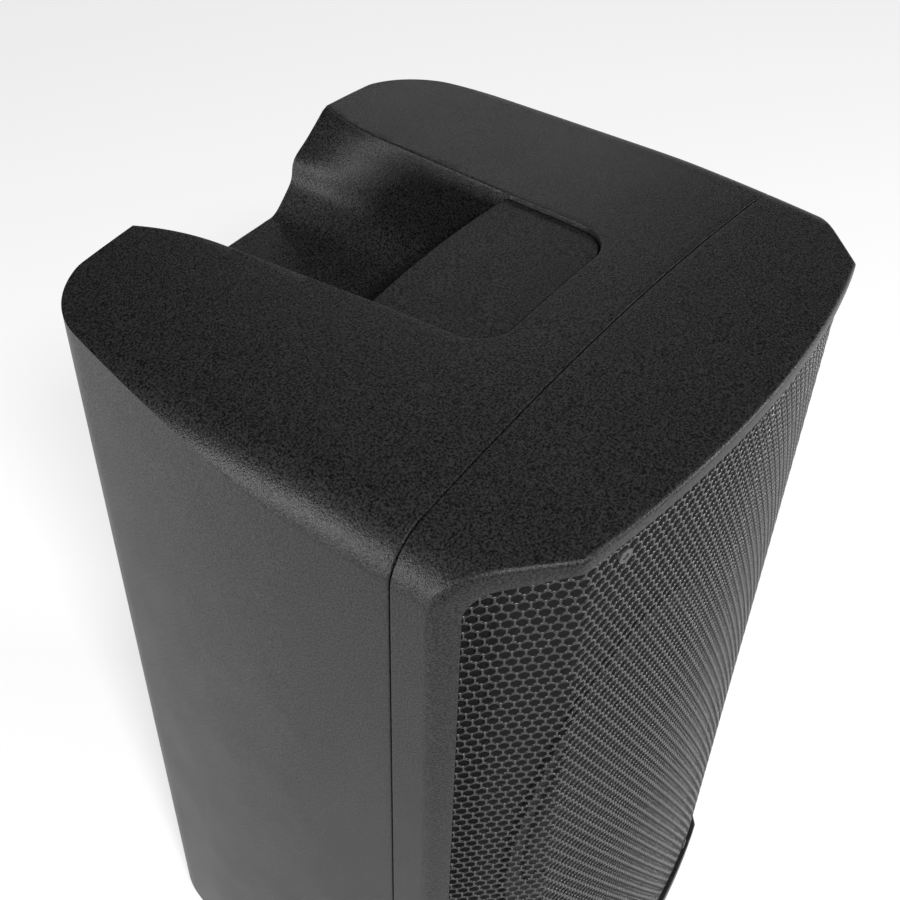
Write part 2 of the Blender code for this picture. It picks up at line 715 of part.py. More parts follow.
def column():
    """The column, standing in its bay with its drivers toward the rear."""
    foot = (ARRAY_X, 0.5 * (ARRAY_Y0 + ARRAY_Y1), ARRAY_Z0)
    root = empty("array_place", foot)
    place = dict(origin=foot, parent=root)
    z0, z1 = ARRAY_Z0 + 52.0, ARRAY_Z1 - 16.0
    shell = prism("array_shell", array_section(ARRAY_HALF, ARRAY_Y0, ARRAY_Y1), z0, z1, "casing", **place)
    w = ARRAY_HALF - 3.0
    cut(shell, block("back_room", ARRAY_X - w, ARRAY_X + w, ARRAY_Y0 + 3.5, 156.0, z0 + 3, z1 - 3))
    cut(shell, block("front_room", ARRAY_X - w, ARRAY_X + w, 160.0, 190, z0 + 3, z1 - 3))
    for k in range(DRIVER_COUNT):
        z = DRIVER_Z + DRIVER_PITCH * k
        cut(shell, rod("driver_hole", 25.5, 150, 165, (ARRAY_X, 0, z), (0, 1, 0), 20))
        turned("array_driver_%d" % (k + 1),
               [(0, 159), (9, 159.5), (14, 161.5), (24, 165.5), (27, 166), (30, 164.5), (30, 160.4),
                (25, 160.4), (22, 148), (17, 141), (17, 126), (0, 126)],
               (ARRAY_X, 0, z), (0, 1, 0), 20, "cone", **place)
    tidy(shell)
    prism("array_cap", array_section(ARRAY_HALF, ARRAY_Y0, ARRAY_Y1, bulge=8.0), z1 + GAP, ARRAY_Z1,
          "casing", **place)
    base = array_section(ARRAY_HALF, ARRAY_Y0, ARRAY_Y1, bulge=8.0)
    rings = [[(x, y, ARRAY_Z0 + 32.0) for x, y in inset_toward(base, foot, 0.82)],
             [(x, y, ARRAY_Z0 + 40.0) for x, y in base], [(x, y, z0 - GAP) for x, y in base]]
    heel = loft("array_foot", rings, "casing", **place)
    ty = 0.5 * (ARRAY_Y0 + ARRAY_Y1)
    cut(heel, block("tenon", ARRAY_X - TENON_X + 0.4, ARRAY_X + TENON_X - 0.4, ty - TENON_Y + 0.4,
                    ty + TENON_Y - 0.4, ARRAY_Z0, ARRAY_Z0 + 34.0), "UNION")
    tidy(heel)
    outer = [(ARRAY_HALF * (1 - k / 4.0), 1 - (1 - k / 4.0) ** 2) for k in range(9)]
    sheet = [(ARRAY_X + x, ARRAY_Y1 + GAP + 8.0 * b) for x, b in outer]
    sheet += [(ARRAY_X - x, ARRAY_Y1 + GAP + 8.0 * b + 1.4) for x, b in outer]
    prism("array_grille", sheet, z0, z1 - GAP, "grille", **place)
    tube = block("spacer_tube", SPACER_X - 17, SPACER_X + 17, 122.0, 180.0, ARRAY_Z0 + 28, 480.0,
                 "casing", origin=(SPACER_X, 150.0, ARRAY_Z0), parent=None)
    cut(tube, block("spacer_socket", SPACER_X - TENON_Y, SPACER_X + TENON_Y, 151.0 - TENON_X,
                    151.0 + TENON_X, 444.0, 500))
    cut(tube, block("spacer_tenon", SPACER_X - TENON_Y + 0.4, SPACER_X + TENON_Y - 0.4,
                    151.0 - TENON_X + 0.4, 151.0 + TENON_X - 0.4, ARRAY_Z0, ARRAY_Z0 + 30), "UNION")
    tidy(tube)
    for k, z in enumerate((220.0, 430.0)):
        block("stow_pad_%d" % (k + 1), ARRAY_X - 22, ARRAY_X + 22, BAY_Y + GAP, ARRAY_Y0 - GAP,
              z - 14, z + 14, "rubber")


def inset_toward(outline, centre, f):
    """Shrink an outline toward a point."""
    return [(centre[0] + (x - centre[0]) * f, centre[1] + (y - centre[1]) * f) for x, y in outline]


# ---------------------------------------------------------------- rear panels

def plate_with_holes(name, sign, holes):
    """A panel with a round hole for each (x offset, z, radius)."""
    xa, xb = sorted((sign * (PANEL_X0 + GAP), sign * (PANEL_X1 - GAP)))
    plate = block(name, xa, xb, PANEL_FACE - PANEL_T, PANEL_FACE, PANEL_Z0 + GAP, PANEL_Z1 - GAP, "panel")
    for dx, z, r in holes:
        at = (sign * CONTROL_X + dx, 0, z)
        cut(plate, rod("hole", r, PANEL_FACE - 10, PANEL_FACE + 10, at, (0, 1, 0), 20))
    return plate


def knob(name, dx, z, r, tall):
    """A knob with a pointer flat and its shaft; it turns about its own axis."""
    x = CONTROL_X + dx
    axis = empty(name + "_axis", (x, PANEL_FACE, z))
    f = PANEL_FACE
    return turned(name, [(0, f + tall), (r - 1.6, f + tall), (r - 0.4, f + tall - 1.2), (r, f + 0.6),
                         (2.9, f + 0.6), (2.9, f - 12), (0, f - 12)],
                  (x, 0, z), (0, 1, 0), 20, "knob", origin=(x, f, z), parent=axis)


def jack(name, x, z, r, bore, deep):
    """A panel socket: flange, barrel and its hole."""
    f = PANEL_FACE
    return turned(name, [(bore, f + 2.2), (r + 2.0, f + 2.2), (r + 2.6, f + 1.4), (r + 2.6, f + 0.3),
                         (r, f + 0.3), (r, f - deep - 4), (0, f - deep - 4), (0, f - deep), (bore, f - deep)],
                  (x, 0, z), (0, 1, 0), 24, "knob")


def panels():
    """Both rear panels with everything on them."""
    gains = [(-12.0, 338.0), (12.0, 338.0), (-12.0, 306.0), (12.0, 306.0)]
    holes = [(0, 404.0, 3.3), (-12.0, 370.0, 4.4), (12.0, 370.0, 4.4), (0, 262.0, 12.0), (0, 224.0, 12.0),
             (-12.0, 190.0, 8.0), (12.0, 190.0, 8.0), (0, 152.0, 11.0)]
    holes += [(dx, z, 3.3) for dx, z in gains]
    control = plate_with_holes("control_panel", 1, holes)
    cut(control, block("window_hole", 71.7, 112.3, 160, 180, 429.7, 464.3))
    tidy(control)
    win = block("display_window", 72, 112, PANEL_FACE - 6, PANEL_FACE + 0.8, 430, 464, "glass")
    tidy(win)
    knob("select_knob", 0, 404.0, 10.5, 11.0)
    for k, (dx, z) in enumerate(gains):
        knob("gain_knob_%d" % (k + 1), dx, z, 7.5, 10.5)
    for label, dx in (("mode_button", -12.0), ("mute_button", 12.0)):
        x, f = CONTROL_X + dx, PANEL_FACE
        axis = empty(label + "_axis", (x, f, 370.0))
        turned(label, [(0, f + 3.0), (3.2, f + 3.0), (4.1, f + 2.2), (4.1, f - 7), (0, f - 7)],
               (x, 0, 370.0), (0, 1, 0), 16, "knob", origin=(x, f, 370.0), parent=axis)
    jack("combo_jack_1", CONTROL_X, 262.0, 11.7, 8.6, 20.0)
    jack("combo_jack_2", CONTROL_X, 224.0, 11.7, 8.6, 20.0)
    jack("line_jack_1", CONTROL_X - 12, 190.0, 7.7, 3.3, 20.0)
    jack("line_jack_2", CONTROL_X + 12, 190.0, 7.7, 3.3, 20.0)
    jack("mix_out", CONTROL_X, 152.0, 10.7, 8.0, 16.0)

    power = plate_with_holes("power_panel", -1, [])
    x = -CONTROL_X
    cut(power, block("inlet_hole", x - 14.3, x + 14.3, 160, 180, 180.7, 209.3))
    cut(power, block("switch_hole", x - 10.3, x + 10.3, 160, 180, 242.7, 271.3))
    tidy(power)
    inlet = block("mains_inlet", x - 14, x + 14, 146, PANEL_FACE, 181, 209, "knob")
    cut(inlet, block("inlet_flange", x - 19, x + 19, PANEL_FACE + GAP, PANEL_FACE + 3, 173, 217), "UNION")
    cut(inlet, block("inlet_web", x - 13.5, x + 13.5, PANEL_FACE - 1, PANEL_FACE + 1, 182, 208), "UNION")
    cut(inlet, block("inlet_bore", x - 12, x + 12, PANEL_FACE - 18, 200, 187, 204))
    for k, (dx, dz) in enumerate(((-6.5, -3.0), (6.5, -3.0), (0.0, 3.5))):
        cut(inlet, block("pin", x + dx - 1, x + dx + 1, PANEL_FACE - 19, PANEL_FACE - 3, 195.5 + dz - 2,
                         195.5 + dz + 2), "UNION")
    tidy(inlet)
    rocker_axis = empty("rocker_axis", (x, PANEL_FACE - 2.0, 257.0))
    f = PANEL_FACE
    side = [(f - 9.0, 247.0), (f - 9.0, 267.0), (f - 1.0, 269.4), (f + 5.2, 268.6), (f + 2.6, 257.0),
            (f + 1.0, 245.6), (f - 1.0, 244.8)]
    loft("power_rocker", [[(xx, y, z) for y, z in side] for xx in (x - 9.4, x + 9.4)], "knob",
         origin=(x, f - 2.0, 257.0), parent=rocker_axis)
    sink = block("heat_sink", -114, -70, PANEL_FACE + GAP, PANEL_FACE + 4, 300, 470, "alloy")
    for k in range(8):
        xa = -113.0 + 6.0 * k
        cut(sink, block("fin", xa, xa + 2.0, PANEL_FACE + 2, PANEL_FACE + 11.5, 300, 470), "UNION")
    tidy(sink)


def feet():
    """Four rubber feet."""
    for k, (x, y) in enumerate(((-150, -118), (150, -118), (-128, 132), (128, 132))):
        turned("foot_%d" % (k + 1), [(0, 0), (14, 0), (16, 2), (16, FOOT_H - GAP), (0, FOOT_H - GAP)],
               (x, y, 0), (0, 0, 1), 16, "rubber")


rear_shell()
front_bezel()
grille_panel()
handle_plate()
baffle()
woofer()
socket()
column()
panels()
circuit("supply_board", BAY_X + 4 + GAP, BAY_X + 6 + GAP, 1, 130, 470,
        ((110, 180, 18, 60, 20), (130, 180, 14, 40, 26), (124, 290, 40, 60, 24), (118, 400, 28, 50, 18)))
circuit("amp_board", -BAY_X - 6 - GAP, -BAY_X - 4 - GAP, -1, 130, 470,
        ((112, 170, 20, 40, 16), (112, 250, 20, 40, 16), (134, 330, 24, 70, 12), (118, 420, 36, 40, 22)))
feet()
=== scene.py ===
"""Portable column loudspeaker: the finished look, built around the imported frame."""

import json
import math

import bmesh
import bpy
import numpy as np
from mathutils import Matrix, Vector
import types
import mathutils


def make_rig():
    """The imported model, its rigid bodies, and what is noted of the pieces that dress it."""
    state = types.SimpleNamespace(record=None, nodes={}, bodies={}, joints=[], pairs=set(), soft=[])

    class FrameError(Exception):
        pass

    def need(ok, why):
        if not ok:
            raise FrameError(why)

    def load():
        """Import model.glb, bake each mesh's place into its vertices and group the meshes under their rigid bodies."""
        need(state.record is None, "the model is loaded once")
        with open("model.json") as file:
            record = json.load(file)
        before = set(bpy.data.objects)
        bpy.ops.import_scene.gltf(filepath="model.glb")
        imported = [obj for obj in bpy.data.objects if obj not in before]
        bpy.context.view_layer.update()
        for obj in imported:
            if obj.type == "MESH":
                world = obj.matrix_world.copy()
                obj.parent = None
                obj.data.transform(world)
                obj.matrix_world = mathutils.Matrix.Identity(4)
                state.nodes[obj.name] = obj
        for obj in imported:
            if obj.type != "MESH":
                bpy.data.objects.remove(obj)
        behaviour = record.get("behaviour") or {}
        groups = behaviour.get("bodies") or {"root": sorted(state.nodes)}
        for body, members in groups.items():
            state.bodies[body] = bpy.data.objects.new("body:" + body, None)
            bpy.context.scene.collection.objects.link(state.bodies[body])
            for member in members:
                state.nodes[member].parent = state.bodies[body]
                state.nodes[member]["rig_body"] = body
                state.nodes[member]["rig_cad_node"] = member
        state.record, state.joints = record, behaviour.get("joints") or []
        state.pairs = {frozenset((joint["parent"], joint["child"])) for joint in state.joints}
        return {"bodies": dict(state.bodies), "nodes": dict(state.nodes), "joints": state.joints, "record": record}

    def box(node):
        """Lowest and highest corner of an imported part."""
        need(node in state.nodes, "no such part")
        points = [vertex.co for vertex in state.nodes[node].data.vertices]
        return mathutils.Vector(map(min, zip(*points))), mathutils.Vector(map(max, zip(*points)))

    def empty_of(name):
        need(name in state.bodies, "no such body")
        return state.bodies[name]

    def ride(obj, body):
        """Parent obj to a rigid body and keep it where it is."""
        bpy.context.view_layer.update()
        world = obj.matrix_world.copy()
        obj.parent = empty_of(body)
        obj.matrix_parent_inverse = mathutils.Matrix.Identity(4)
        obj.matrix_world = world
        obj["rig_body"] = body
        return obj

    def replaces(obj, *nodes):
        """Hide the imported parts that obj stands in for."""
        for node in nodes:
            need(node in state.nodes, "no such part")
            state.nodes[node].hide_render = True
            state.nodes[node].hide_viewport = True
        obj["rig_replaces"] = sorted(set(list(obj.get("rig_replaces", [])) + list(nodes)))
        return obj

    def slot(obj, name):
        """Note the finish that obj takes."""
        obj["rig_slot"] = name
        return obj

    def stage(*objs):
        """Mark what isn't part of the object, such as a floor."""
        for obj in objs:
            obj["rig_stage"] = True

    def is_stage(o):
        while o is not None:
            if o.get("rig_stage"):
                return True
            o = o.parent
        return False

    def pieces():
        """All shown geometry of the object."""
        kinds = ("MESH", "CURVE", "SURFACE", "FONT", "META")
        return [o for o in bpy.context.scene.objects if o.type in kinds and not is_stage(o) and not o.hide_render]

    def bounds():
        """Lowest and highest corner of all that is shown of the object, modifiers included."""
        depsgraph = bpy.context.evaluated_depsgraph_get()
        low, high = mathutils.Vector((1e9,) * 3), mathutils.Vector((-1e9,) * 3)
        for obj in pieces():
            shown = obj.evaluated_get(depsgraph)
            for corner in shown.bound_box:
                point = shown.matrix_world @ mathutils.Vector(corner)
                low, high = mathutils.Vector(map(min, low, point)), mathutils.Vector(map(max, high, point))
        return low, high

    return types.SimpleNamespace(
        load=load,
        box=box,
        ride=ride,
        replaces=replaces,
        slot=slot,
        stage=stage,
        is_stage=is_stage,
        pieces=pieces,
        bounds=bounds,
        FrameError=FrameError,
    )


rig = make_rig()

bl_info = {
    "name": "Column Loudspeaker",
    "version": (1, 0, 0),
    "blender": (4, 5, 0),
    "location": "3D View > Sidebar > Loudspeaker",
    "description": "Builds a portable column loudspeaker with its bass cabinet, grille and stowed column",
    "category": "Object",
}

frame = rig.load()
CAD_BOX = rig.bounds()
NODES = frame["nodes"]
MM = 0.001

# Cabinet, in millimetres
HALF_WIDTH, BEND_X, BEND_Y, FRONT_BOW, REAR_Y = 195.0, 145.4, -168.5, 17.9, 186.4
SIDE_BOW_Y, SIDE_BOW, CORNER_R, WALL = -39.4, 0.000669, 55.0, 5.0
FOOT_H, EDGE_Z, CROWN_RISE, CROWN_Y, CROWN_X = 14.0, 656.4, 13.6, -43.0, 0.000404
FILLET_R, FILLET_X, SEAM_Y, SEAM_GAP = 30.1, 165.0, -93.2, 0.8
BASE_R = 6.0
ABOVE, BEHIND = 712.0, 220.0        # clear of the top, and clear of the back

# Opening and grille sheet
LIP, GRILLE_BACK, CORNER_BACK, GRILLE_T, OPEN_Z0 = 9.5, 3.2, 3.6, 1.2, 30.0
FACET = (HALF_WIDTH - BEND_X) * math.sqrt(2)
OPEN_U = FACET - 14.4
OPEN_CORNER, CHEEK_RUN = 17.0, 4.5
CORNER_U = OPEN_U - 16.0

# Hand pocket, grip and column bay
POCKET_Y0, GRIP_EDGE_Y, GRIP_Y0, GRIP_HALF, GRIP_R = 6.0, 26.5, -54.5, 63.0, 24.0
GRIP_STEP, GRIP_FLOOR = 3.6, 652.0
SOCKET_X, SOCKET_Y, SOCKET_D = 31.0, 50.0, 16.0
BAY_X, BAY_Y, BAY_Z0, BAY_Z1 = 58.0, 98.0, 70.0, 578.0
ARRAY_X, ARRAY_HALF = -19.0, 38.0
PANEL_X0, PANEL_X1, PANEL_Z0, PANEL_Z1, PANEL_FACE, PANEL_T = 66.0, 118.0, 110.0, 480.0, 174.0, 3.0
CONTROL_X = 92.0


# ---------------------------------------------------------------- settings

class SpeakerSizes(bpy.types.PropertyGroup):
    """Sizes that can be changed without touching the frame."""
    hole_pitch: bpy.props.FloatProperty(name="Hole pitch", default=0.00717, subtype="DISTANCE", unit="LENGTH",
                                        description="Distance between neighbouring holes of the grille")
    hole_width: bpy.props.FloatProperty(name="Hole width", default=0.0060, subtype="DISTANCE", unit="LENGTH",
                                        description="Width of each hole of the grille across its flats")
    lip_round: bpy.props.FloatProperty(name="Lip rounding", default=0.0026, subtype="DISTANCE", unit="LENGTH",
                                       description="Radius of the outer edge of the lip round the grille")
    seam_round: bpy.props.FloatProperty(name="Seam rounding", default=0.0007, subtype="DISTANCE", unit="LENGTH",
                                        description="Radius of both edges of the seam between the casings")
    grain_size: bpy.props.FloatProperty(name="Grain size", default=0.0010, subtype="DISTANCE", unit="LENGTH",
                                        precision=5, description="Spacing of the bumps moulded into the casings")


class SpeakerColours(bpy.types.PropertyGroup):
    """Colours of the main finishes."""
    casing: bpy.props.FloatVectorProperty(name="Casing", size=3, subtype="COLOR", min=0, max=1,
                                          default=(0.0105, 0.0105, 0.011), description="Moulded casings")
    grille: bpy.props.FloatVectorProperty(name="Grille", size=3, subtype="COLOR", min=0, max=1,
                                          default=(0.014, 0.014, 0.0145), description="Powder coat of the grille")
    knobs: bpy.props.FloatVectorProperty(name="Knobs", size=3, subtype="COLOR", min=0, max=1,
                                         default=(0.022, 0.022, 0.023), description="Knobs, sockets and keys")
    print: bpy.props.FloatVectorProperty(name="Print", size=3, subtype="COLOR", min=0, max=1,
                                         default=(0.62, 0.62, 0.60), description="Printed scale marks")
    floor: bpy.props.FloatVectorProperty(name="Floor", size=3, subtype="COLOR", min=0, max=1,
                                         default=(0.34, 0.34, 0.34), description="Studio floor")


class SpeakerSettings(bpy.types.PropertyGroup):
    """All the settings of the loudspeaker."""
    sizes: bpy.props.PointerProperty(type=SpeakerSizes)
    colours: bpy.props.PointerProperty(type=SpeakerColours)


def sizes():
    return bpy.context.scene.column_speaker.sizes


def colours():
    return bpy.context.scene.column_speaker.colours


# ---------------------------------------------------------------- finishes

class Signal:
    """A value in a finish that takes part in ordinary arithmetic."""

    def __init__(self, finish, socket):
        self.finish, self.socket = finish, socket

    def math(self, operation, first, second=None):
        return self.finish.node("ShaderNodeMath", {"operation": operation}, {0: first, 1: second})

    def __add__(self, other):
        return self.math("ADD", self, other)

    def __radd__(self, other):
        return self.math("ADD", other, self)

    def __sub__(self, other):
        return self.math("SUBTRACT", self, other)

    def __rsub__(self, other):
        return self.math("SUBTRACT", other, self)

    def __mul__(self, other):
        return self.math("MULTIPLY", self, other)

    def __rmul__(self, other):
        return self.math("MULTIPLY", other, self)

    def __gt__(self, other):
        return self.math("GREATER_THAN", self, other)

    def __lt__(self, other):
        return self.math("LESS_THAN", self, other)


class Finish:
    """A material that is being put together."""

    def __init__(self, name, colour, roughness, metallic=0.0, **shader):
        self.material = bpy.data.materials.new(name)
        self.material.use_nodes = True
        self.tree = self.material.node_tree
        self.shader = self.tree.nodes["Principled BSDF"]
        self.colour = (*colour, 1.0)
        self.set("Base Color", self.colour)
        self.set("Roughness", roughness)
        self.set("Metallic", metallic)
        for key, value in shader.items():
            self.set(key.replace("_", " "), value)
        self.point = self.node("ShaderNodeTexCoord", out="Object")

    def node(self, kind, settings=None, inputs=None, out=0):
        """Make any node: its settings first, then its sockets."""
        made = self.tree.nodes.new(kind)
        for key, value in (settings or {}).items():
            if key == "stops":
                ramp = made.color_ramp
                while len(ramp.elements) < len(value):
                    ramp.elements.new(0.5)
                for stop, (place, shade) in zip(ramp.elements, value):
                    stop.position, stop.color = place, shade
            else:
                setattr(made, key, value)
        for key, value in (inputs or {}).items():
            if isinstance(value, Signal):
                self.tree.links.new(value.socket, made.inputs[key])
            elif value is not None:
                made.inputs[key].default_value = value
        return Signal(self, made.outputs[out])

    def set(self, name, value):
        """Set or link one of the shader's sockets."""
        if isinstance(value, Signal):
            self.tree.links.new(value.socket, self.shader.inputs[name])
        else:
            self.shader.inputs[name].default_value = value

    def noise(self, size, detail=2.0, rough=0.5, stretch=None):
        """Noise with features of the given size in metres."""
        point = self.point
        if stretch:
            point = self.node("ShaderNodeMapping", None, {"Vector": point, "Scale": stretch})
        return self.node("ShaderNodeTexNoise", None, {"Vector": point, "Scale": 1.0 / size, "Detail": detail,
                                                      "Roughness": rough})

    def cells(self, size, feature="SMOOTH_F1"):
        """Distance to the middle of the nearest of many small cells."""
        return self.node("ShaderNodeTexVoronoi", {"feature": feature},
                         {"Vector": self.point, "Scale": 1.0 / size}, "Distance")

    def ramp(self, value, *stops):
        return self.node("ShaderNodeValToRGB", {"stops": [(p, (s, s, s, 1.0)) for p, s in stops]}, {0: value})

    def tint(self, amount, first, second):
        """Mix two colours."""
        made = self.node("ShaderNodeMix", {"data_type": "RGBA"}, {"Factor": amount}, out=2)
        mix = made.socket.node
        for place, shade in ((6, first), (7, second)):
            if isinstance(shade, Signal):
                self.tree.links.new(shade.socket, mix.inputs[place])
            else:
                mix.inputs[place].default_value = (*shade[:3], 1.0)
        return made

    def vary(self, low, high, size=0.03):
        """Uneven colour between two multiples of the base colour."""
        first, second = ([min(1.0, c * k) for c in self.colour[:3]] for k in (low, high))
        self.set("Base Color", self.tint(self.noise(size, 3.0), first, second))

    def relief(self, height, depth, strength=1.0, soft=0.0):
        """Raise and lower the surface by a height between 0 and 1."""
        inputs = {"Height": height, "Distance": depth, "Strength": strength}
        if soft:
            inputs["Normal"] = self.node("ShaderNodeBevel", {"samples": 4}, {"Radius": soft})
        self.set("Normal", self.node("ShaderNodeBump", None, inputs))


def grained(name, colour, rough, depth=0.00024, soft=0.0, size=None, spread=0.10):
    """Moulded plastic with a fine leather grain, whose base colour carries painted glints and painted shade in fine
    specks.
    """
    size = size or sizes().grain_size
    made = Finish(name, colour, rough, IOR=1.5, Specular_IOR_Level=0.18)
    cells, fine = made.cells(size), made.noise(size * 0.6, 3.0, 0.6)
    height = (1.0 - cells) * 0.8 + fine * 0.7
    # painted glints and painted shade: a speck mask that picks between shaded and lit copies of the casing colour
    painted_glint_mask = made.ramp(made.noise(size * 1.25, 2.0, 0.5), (0.36, 0.0), (0.64, 1.0))
    painted_glint_colour = made.tint(made.noise(0.02, 3.0), [c * 1.7 for c in colour], [c * 2.2 for c in colour])
    # base colour runs from painted shade at 0.15 times the colour to painted glints at 1.7 to 2.2 times it
    made.set("Base Color", made.tint(painted_glint_mask, [c * 0.15 for c in colour], painted_glint_colour))
    patch = made.noise(0.045, 3.0)
    made.set("Roughness", rough - spread * 0.5 + patch * spread + fine * 0.06)
    made.relief(height, depth, 1.0, soft)
    return made.material


def powder(name, colour, rough=0.38, metallic=0.0, depth=0.00004):
    """Powder coat over steel, with a fine orange peel."""
    made = Finish(name, colour, rough, metallic, IOR=1.5, Specular_IOR_Level=0.4)
    peel = made.noise(0.0011, 2.0)
    made.vary(0.8, 1.25, 0.012)
    made.set("Roughness", rough - 0.05 + made.noise(0.02, 3.0) * 0.12)
    made.relief(peel, depth)
    return made.material


def satin(name, colour, rough=0.42, grit=0.0006, depth=0.00003, **shader):
    """Plain moulded plastic with a spark finish."""
    made = Finish(name, colour, rough, **shader)
    made.vary(0.85, 1.2, 0.008)
    made.set("Roughness", rough - 0.06 + made.noise(0.006, 3.0) * 0.14)
    made.relief(made.noise(grit, 3.0), depth)
    return made.material


def rubbery(name, colour):
    made = Finish(name, colour, 0.78, Specular_IOR_Level=0.25)
    made.vary(0.8, 1.3, 0.012)
    made.set("Roughness", 0.70 + made.noise(0.01, 3.0) * 0.18)
    made.relief(made.noise(0.0009, 3.0), 0.00007)
    return made.material


def pulp(name, colour):
    """Coated paper with fibres."""
    made = Finish(name, colour, 0.7, Specular_IOR_Level=0.2)
    fibres = made.noise(0.0022, 4.0, 0.65, (1.0, 1.0, 4.0))
    made.vary(0.7, 1.4, 0.01)
    made.set("Roughness", 0.62 + fibres * 0.2)
    made.relief(fibres, 0.00018)
    return made.material


def metal(name, colour, rough, size=0.0012, stretch=(1.0, 1.0, 14.0)):
    """Bare metal with drawn marks."""
    made = Finish(name, colour, rough, 1.0)
    marks = made.noise(size, 3.0, 0.6, stretch)
    made.vary(0.85, 1.1, 0.01)
    made.set("Roughness", rough - 0.08 + marks * 0.2)
    made.relief(marks, 0.00002)
    return made.material


def laminate(name, colour):
    """Circuit board with tracks under the lacquer."""
    made = Finish(name, colour, 0.4, Coat_Weight=0.4)
    tracks = made.node("ShaderNodeTexBrick", {"offset": 0.5}, {"Vector": made.point, "Scale": 110.0,
                                                               "Mortar Size": 0.06}, "Fac")
    made.set("Base Color", made.tint(tracks, [c * 0.7 for c in colour], [c * 1.6 for c in colour]))
    made.set("Roughness", 0.32 + tracks * 0.15)
    made.relief(tracks, 0.00005)
    return made.material


def screen(name):
    """Dark window with a row of level bars."""
    made = Finish(name, (0.006, 0.007, 0.009), 0.12, Coat_Weight=0.6, Coat_Roughness=0.05)
    across = made.node("ShaderNodeSeparateXYZ", None, {0: made.point}, "X")
    up = Signal(made, across.socket.node.outputs["Z"])
    column = (across - 0.076) * (1.0 / 0.0040)
    part = made.node("ShaderNodeMath", {"operation": "FRACT"}, {0: column})
    step = made.node("ShaderNodeMath", {"operation": "FLOOR"}, {0: column})
    wave = made.node("ShaderNodeMath", {"operation": "SINE"}, {0: step * 2.3})
    tall = 0.445 + wave * 0.006
    bar = (part < 0.7) * (up > 0.436) * (up < tall) * (across > 0.076) * (across < 0.108)
    made.set("Emission Color", made.tint(bar, (0.0, 0.0, 0.0), (0.30, 0.62, 0.80)))
    made.set("Emission Strength", 0.55)
    made.set("Roughness", 0.08 + made.noise(0.01, 2.0) * 0.08)
    return made.material


FINISHES = {}


def finish(name):
    """The named finish, put together once."""
    if name in FINISHES:
        return FINISHES[name]
    tone = colours()
    makers = {
        "casing": lambda: grained("casing", tone.casing, 0.36, soft=0.0005),
        "grip": lambda: grained("grip", [c * 1.15 for c in tone.casing], 0.52, 0.00024),
        "column": lambda: grained("column", tone.casing, 0.46, 0.00024),
        "grille": lambda: powder("grille", tone.grille, 0.27, depth=0.00002),
        "board": lambda: satin("board", (0.006, 0.006, 0.006), 0.8, 0.0015, 0.0001, Specular_IOR_Level=0.12),
        "steel": lambda: powder("steel", (0.03, 0.03, 0.031), 0.35),
        "basket": lambda: satin("basket", (0.009, 0.009, 0.009), 0.6, 0.001, 0.00005, Specular_IOR_Level=0.2),
        "magnet": lambda: metal("magnet", (0.10, 0.10, 0.105), 0.5),
        "cone": lambda: pulp("cone", (0.009, 0.009, 0.0095)),
        "rubber": lambda: rubbery("rubber", (0.009, 0.009, 0.009)),
        "copper": lambda: metal("copper", (0.78, 0.40, 0.22), 0.32),
        "panel": lambda: powder("panel", (0.028, 0.028, 0.029), 0.42),
        "knob": lambda: satin("knob", tone.knobs, 0.45),
        "socket": lambda: satin("socket", (0.014, 0.014, 0.014), 0.38),
        "contact": lambda: metal("contact", (0.72, 0.70, 0.66), 0.28),
        "screen": lambda: screen("screen"),
        "circuit": lambda: laminate("circuit", (0.015, 0.10, 0.045)),
        "alloy": lambda: metal("alloy", (0.11, 0.11, 0.115), 0.42),
        "print": lambda: satin("print", tone.print, 0.5, 0.0004),
    }
    FINISHES[name] = makers[name]()
    return FINISHES[name]


# ---------------------------------------------------------------- bench tools

def deselect():
    if bpy.context.object and bpy.context.object.mode != "OBJECT":
        bpy.ops.object.mode_set(mode="OBJECT")
    bpy.ops.object.select_all(action="DESELECT")


def hold(obj):
    """Make one object the selected and active one."""
    deselect()
    obj.select_set(True)
    bpy.context.view_layer.objects.active = obj
    return obj


def sheet_of(name, verts, faces):
    """An object from points in millimetres."""
    mesh = bpy.data.meshes.new(name)
    mesh.from_pydata([(x * MM, y * MM, z * MM) for x, y, z in verts], [], faces)
    mesh.update()
    obj = bpy.data.objects.new(name, mesh)
    bpy.context.scene.collection.objects.link(obj)
    return obj


def point_out(obj):
    """Turn all the faces of a closed piece outwards."""
    hold(obj)
    bpy.ops.object.mode_set(mode="EDIT")
    bpy.ops.mesh.select_all(action="SELECT")
    bpy.ops.mesh.normals_make_consistent(inside=False)
    bpy.ops.object.mode_set(mode="OBJECT")
    return obj


def rounds(obj, angle=35):
    """Smooth shading, but not across real edges."""
    hold(obj)
    bpy.ops.object.shade_smooth_by_angle(angle=math.radians(angle))
    return obj


def fit(obj, look, body, *stands_for, slot=None):
    """Give a piece its finish and fix it to its body."""
    obj.data.materials.clear()
    obj.data.materials.append(finish(look))
    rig.ride(obj, body)
    if stands_for:
        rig.replaces(obj, *stands_for)
    if slot:
        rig.slot(obj, slot)
    return obj


def loft(name, rings, ends=True, around=False):
    """Skin over rings of equal count."""
    n = len(rings[0])
    verts = [p for ring in rings for p in ring]
    faces = []
    for k in range(len(rings) - (0 if around else 1)):
        a, b = k * n, ((k + 1) % len(rings)) * n
        faces += [(a + i, a + (i + 1) % n, b + (i + 1) % n, b + i) for i in range(n)]
    if ends:
        faces.append(tuple(range(n))[::-1])
        faces.append(tuple(range((len(rings) - 1) * n, len(rings) * n)))
    return point_out(sheet_of(name, verts, faces))


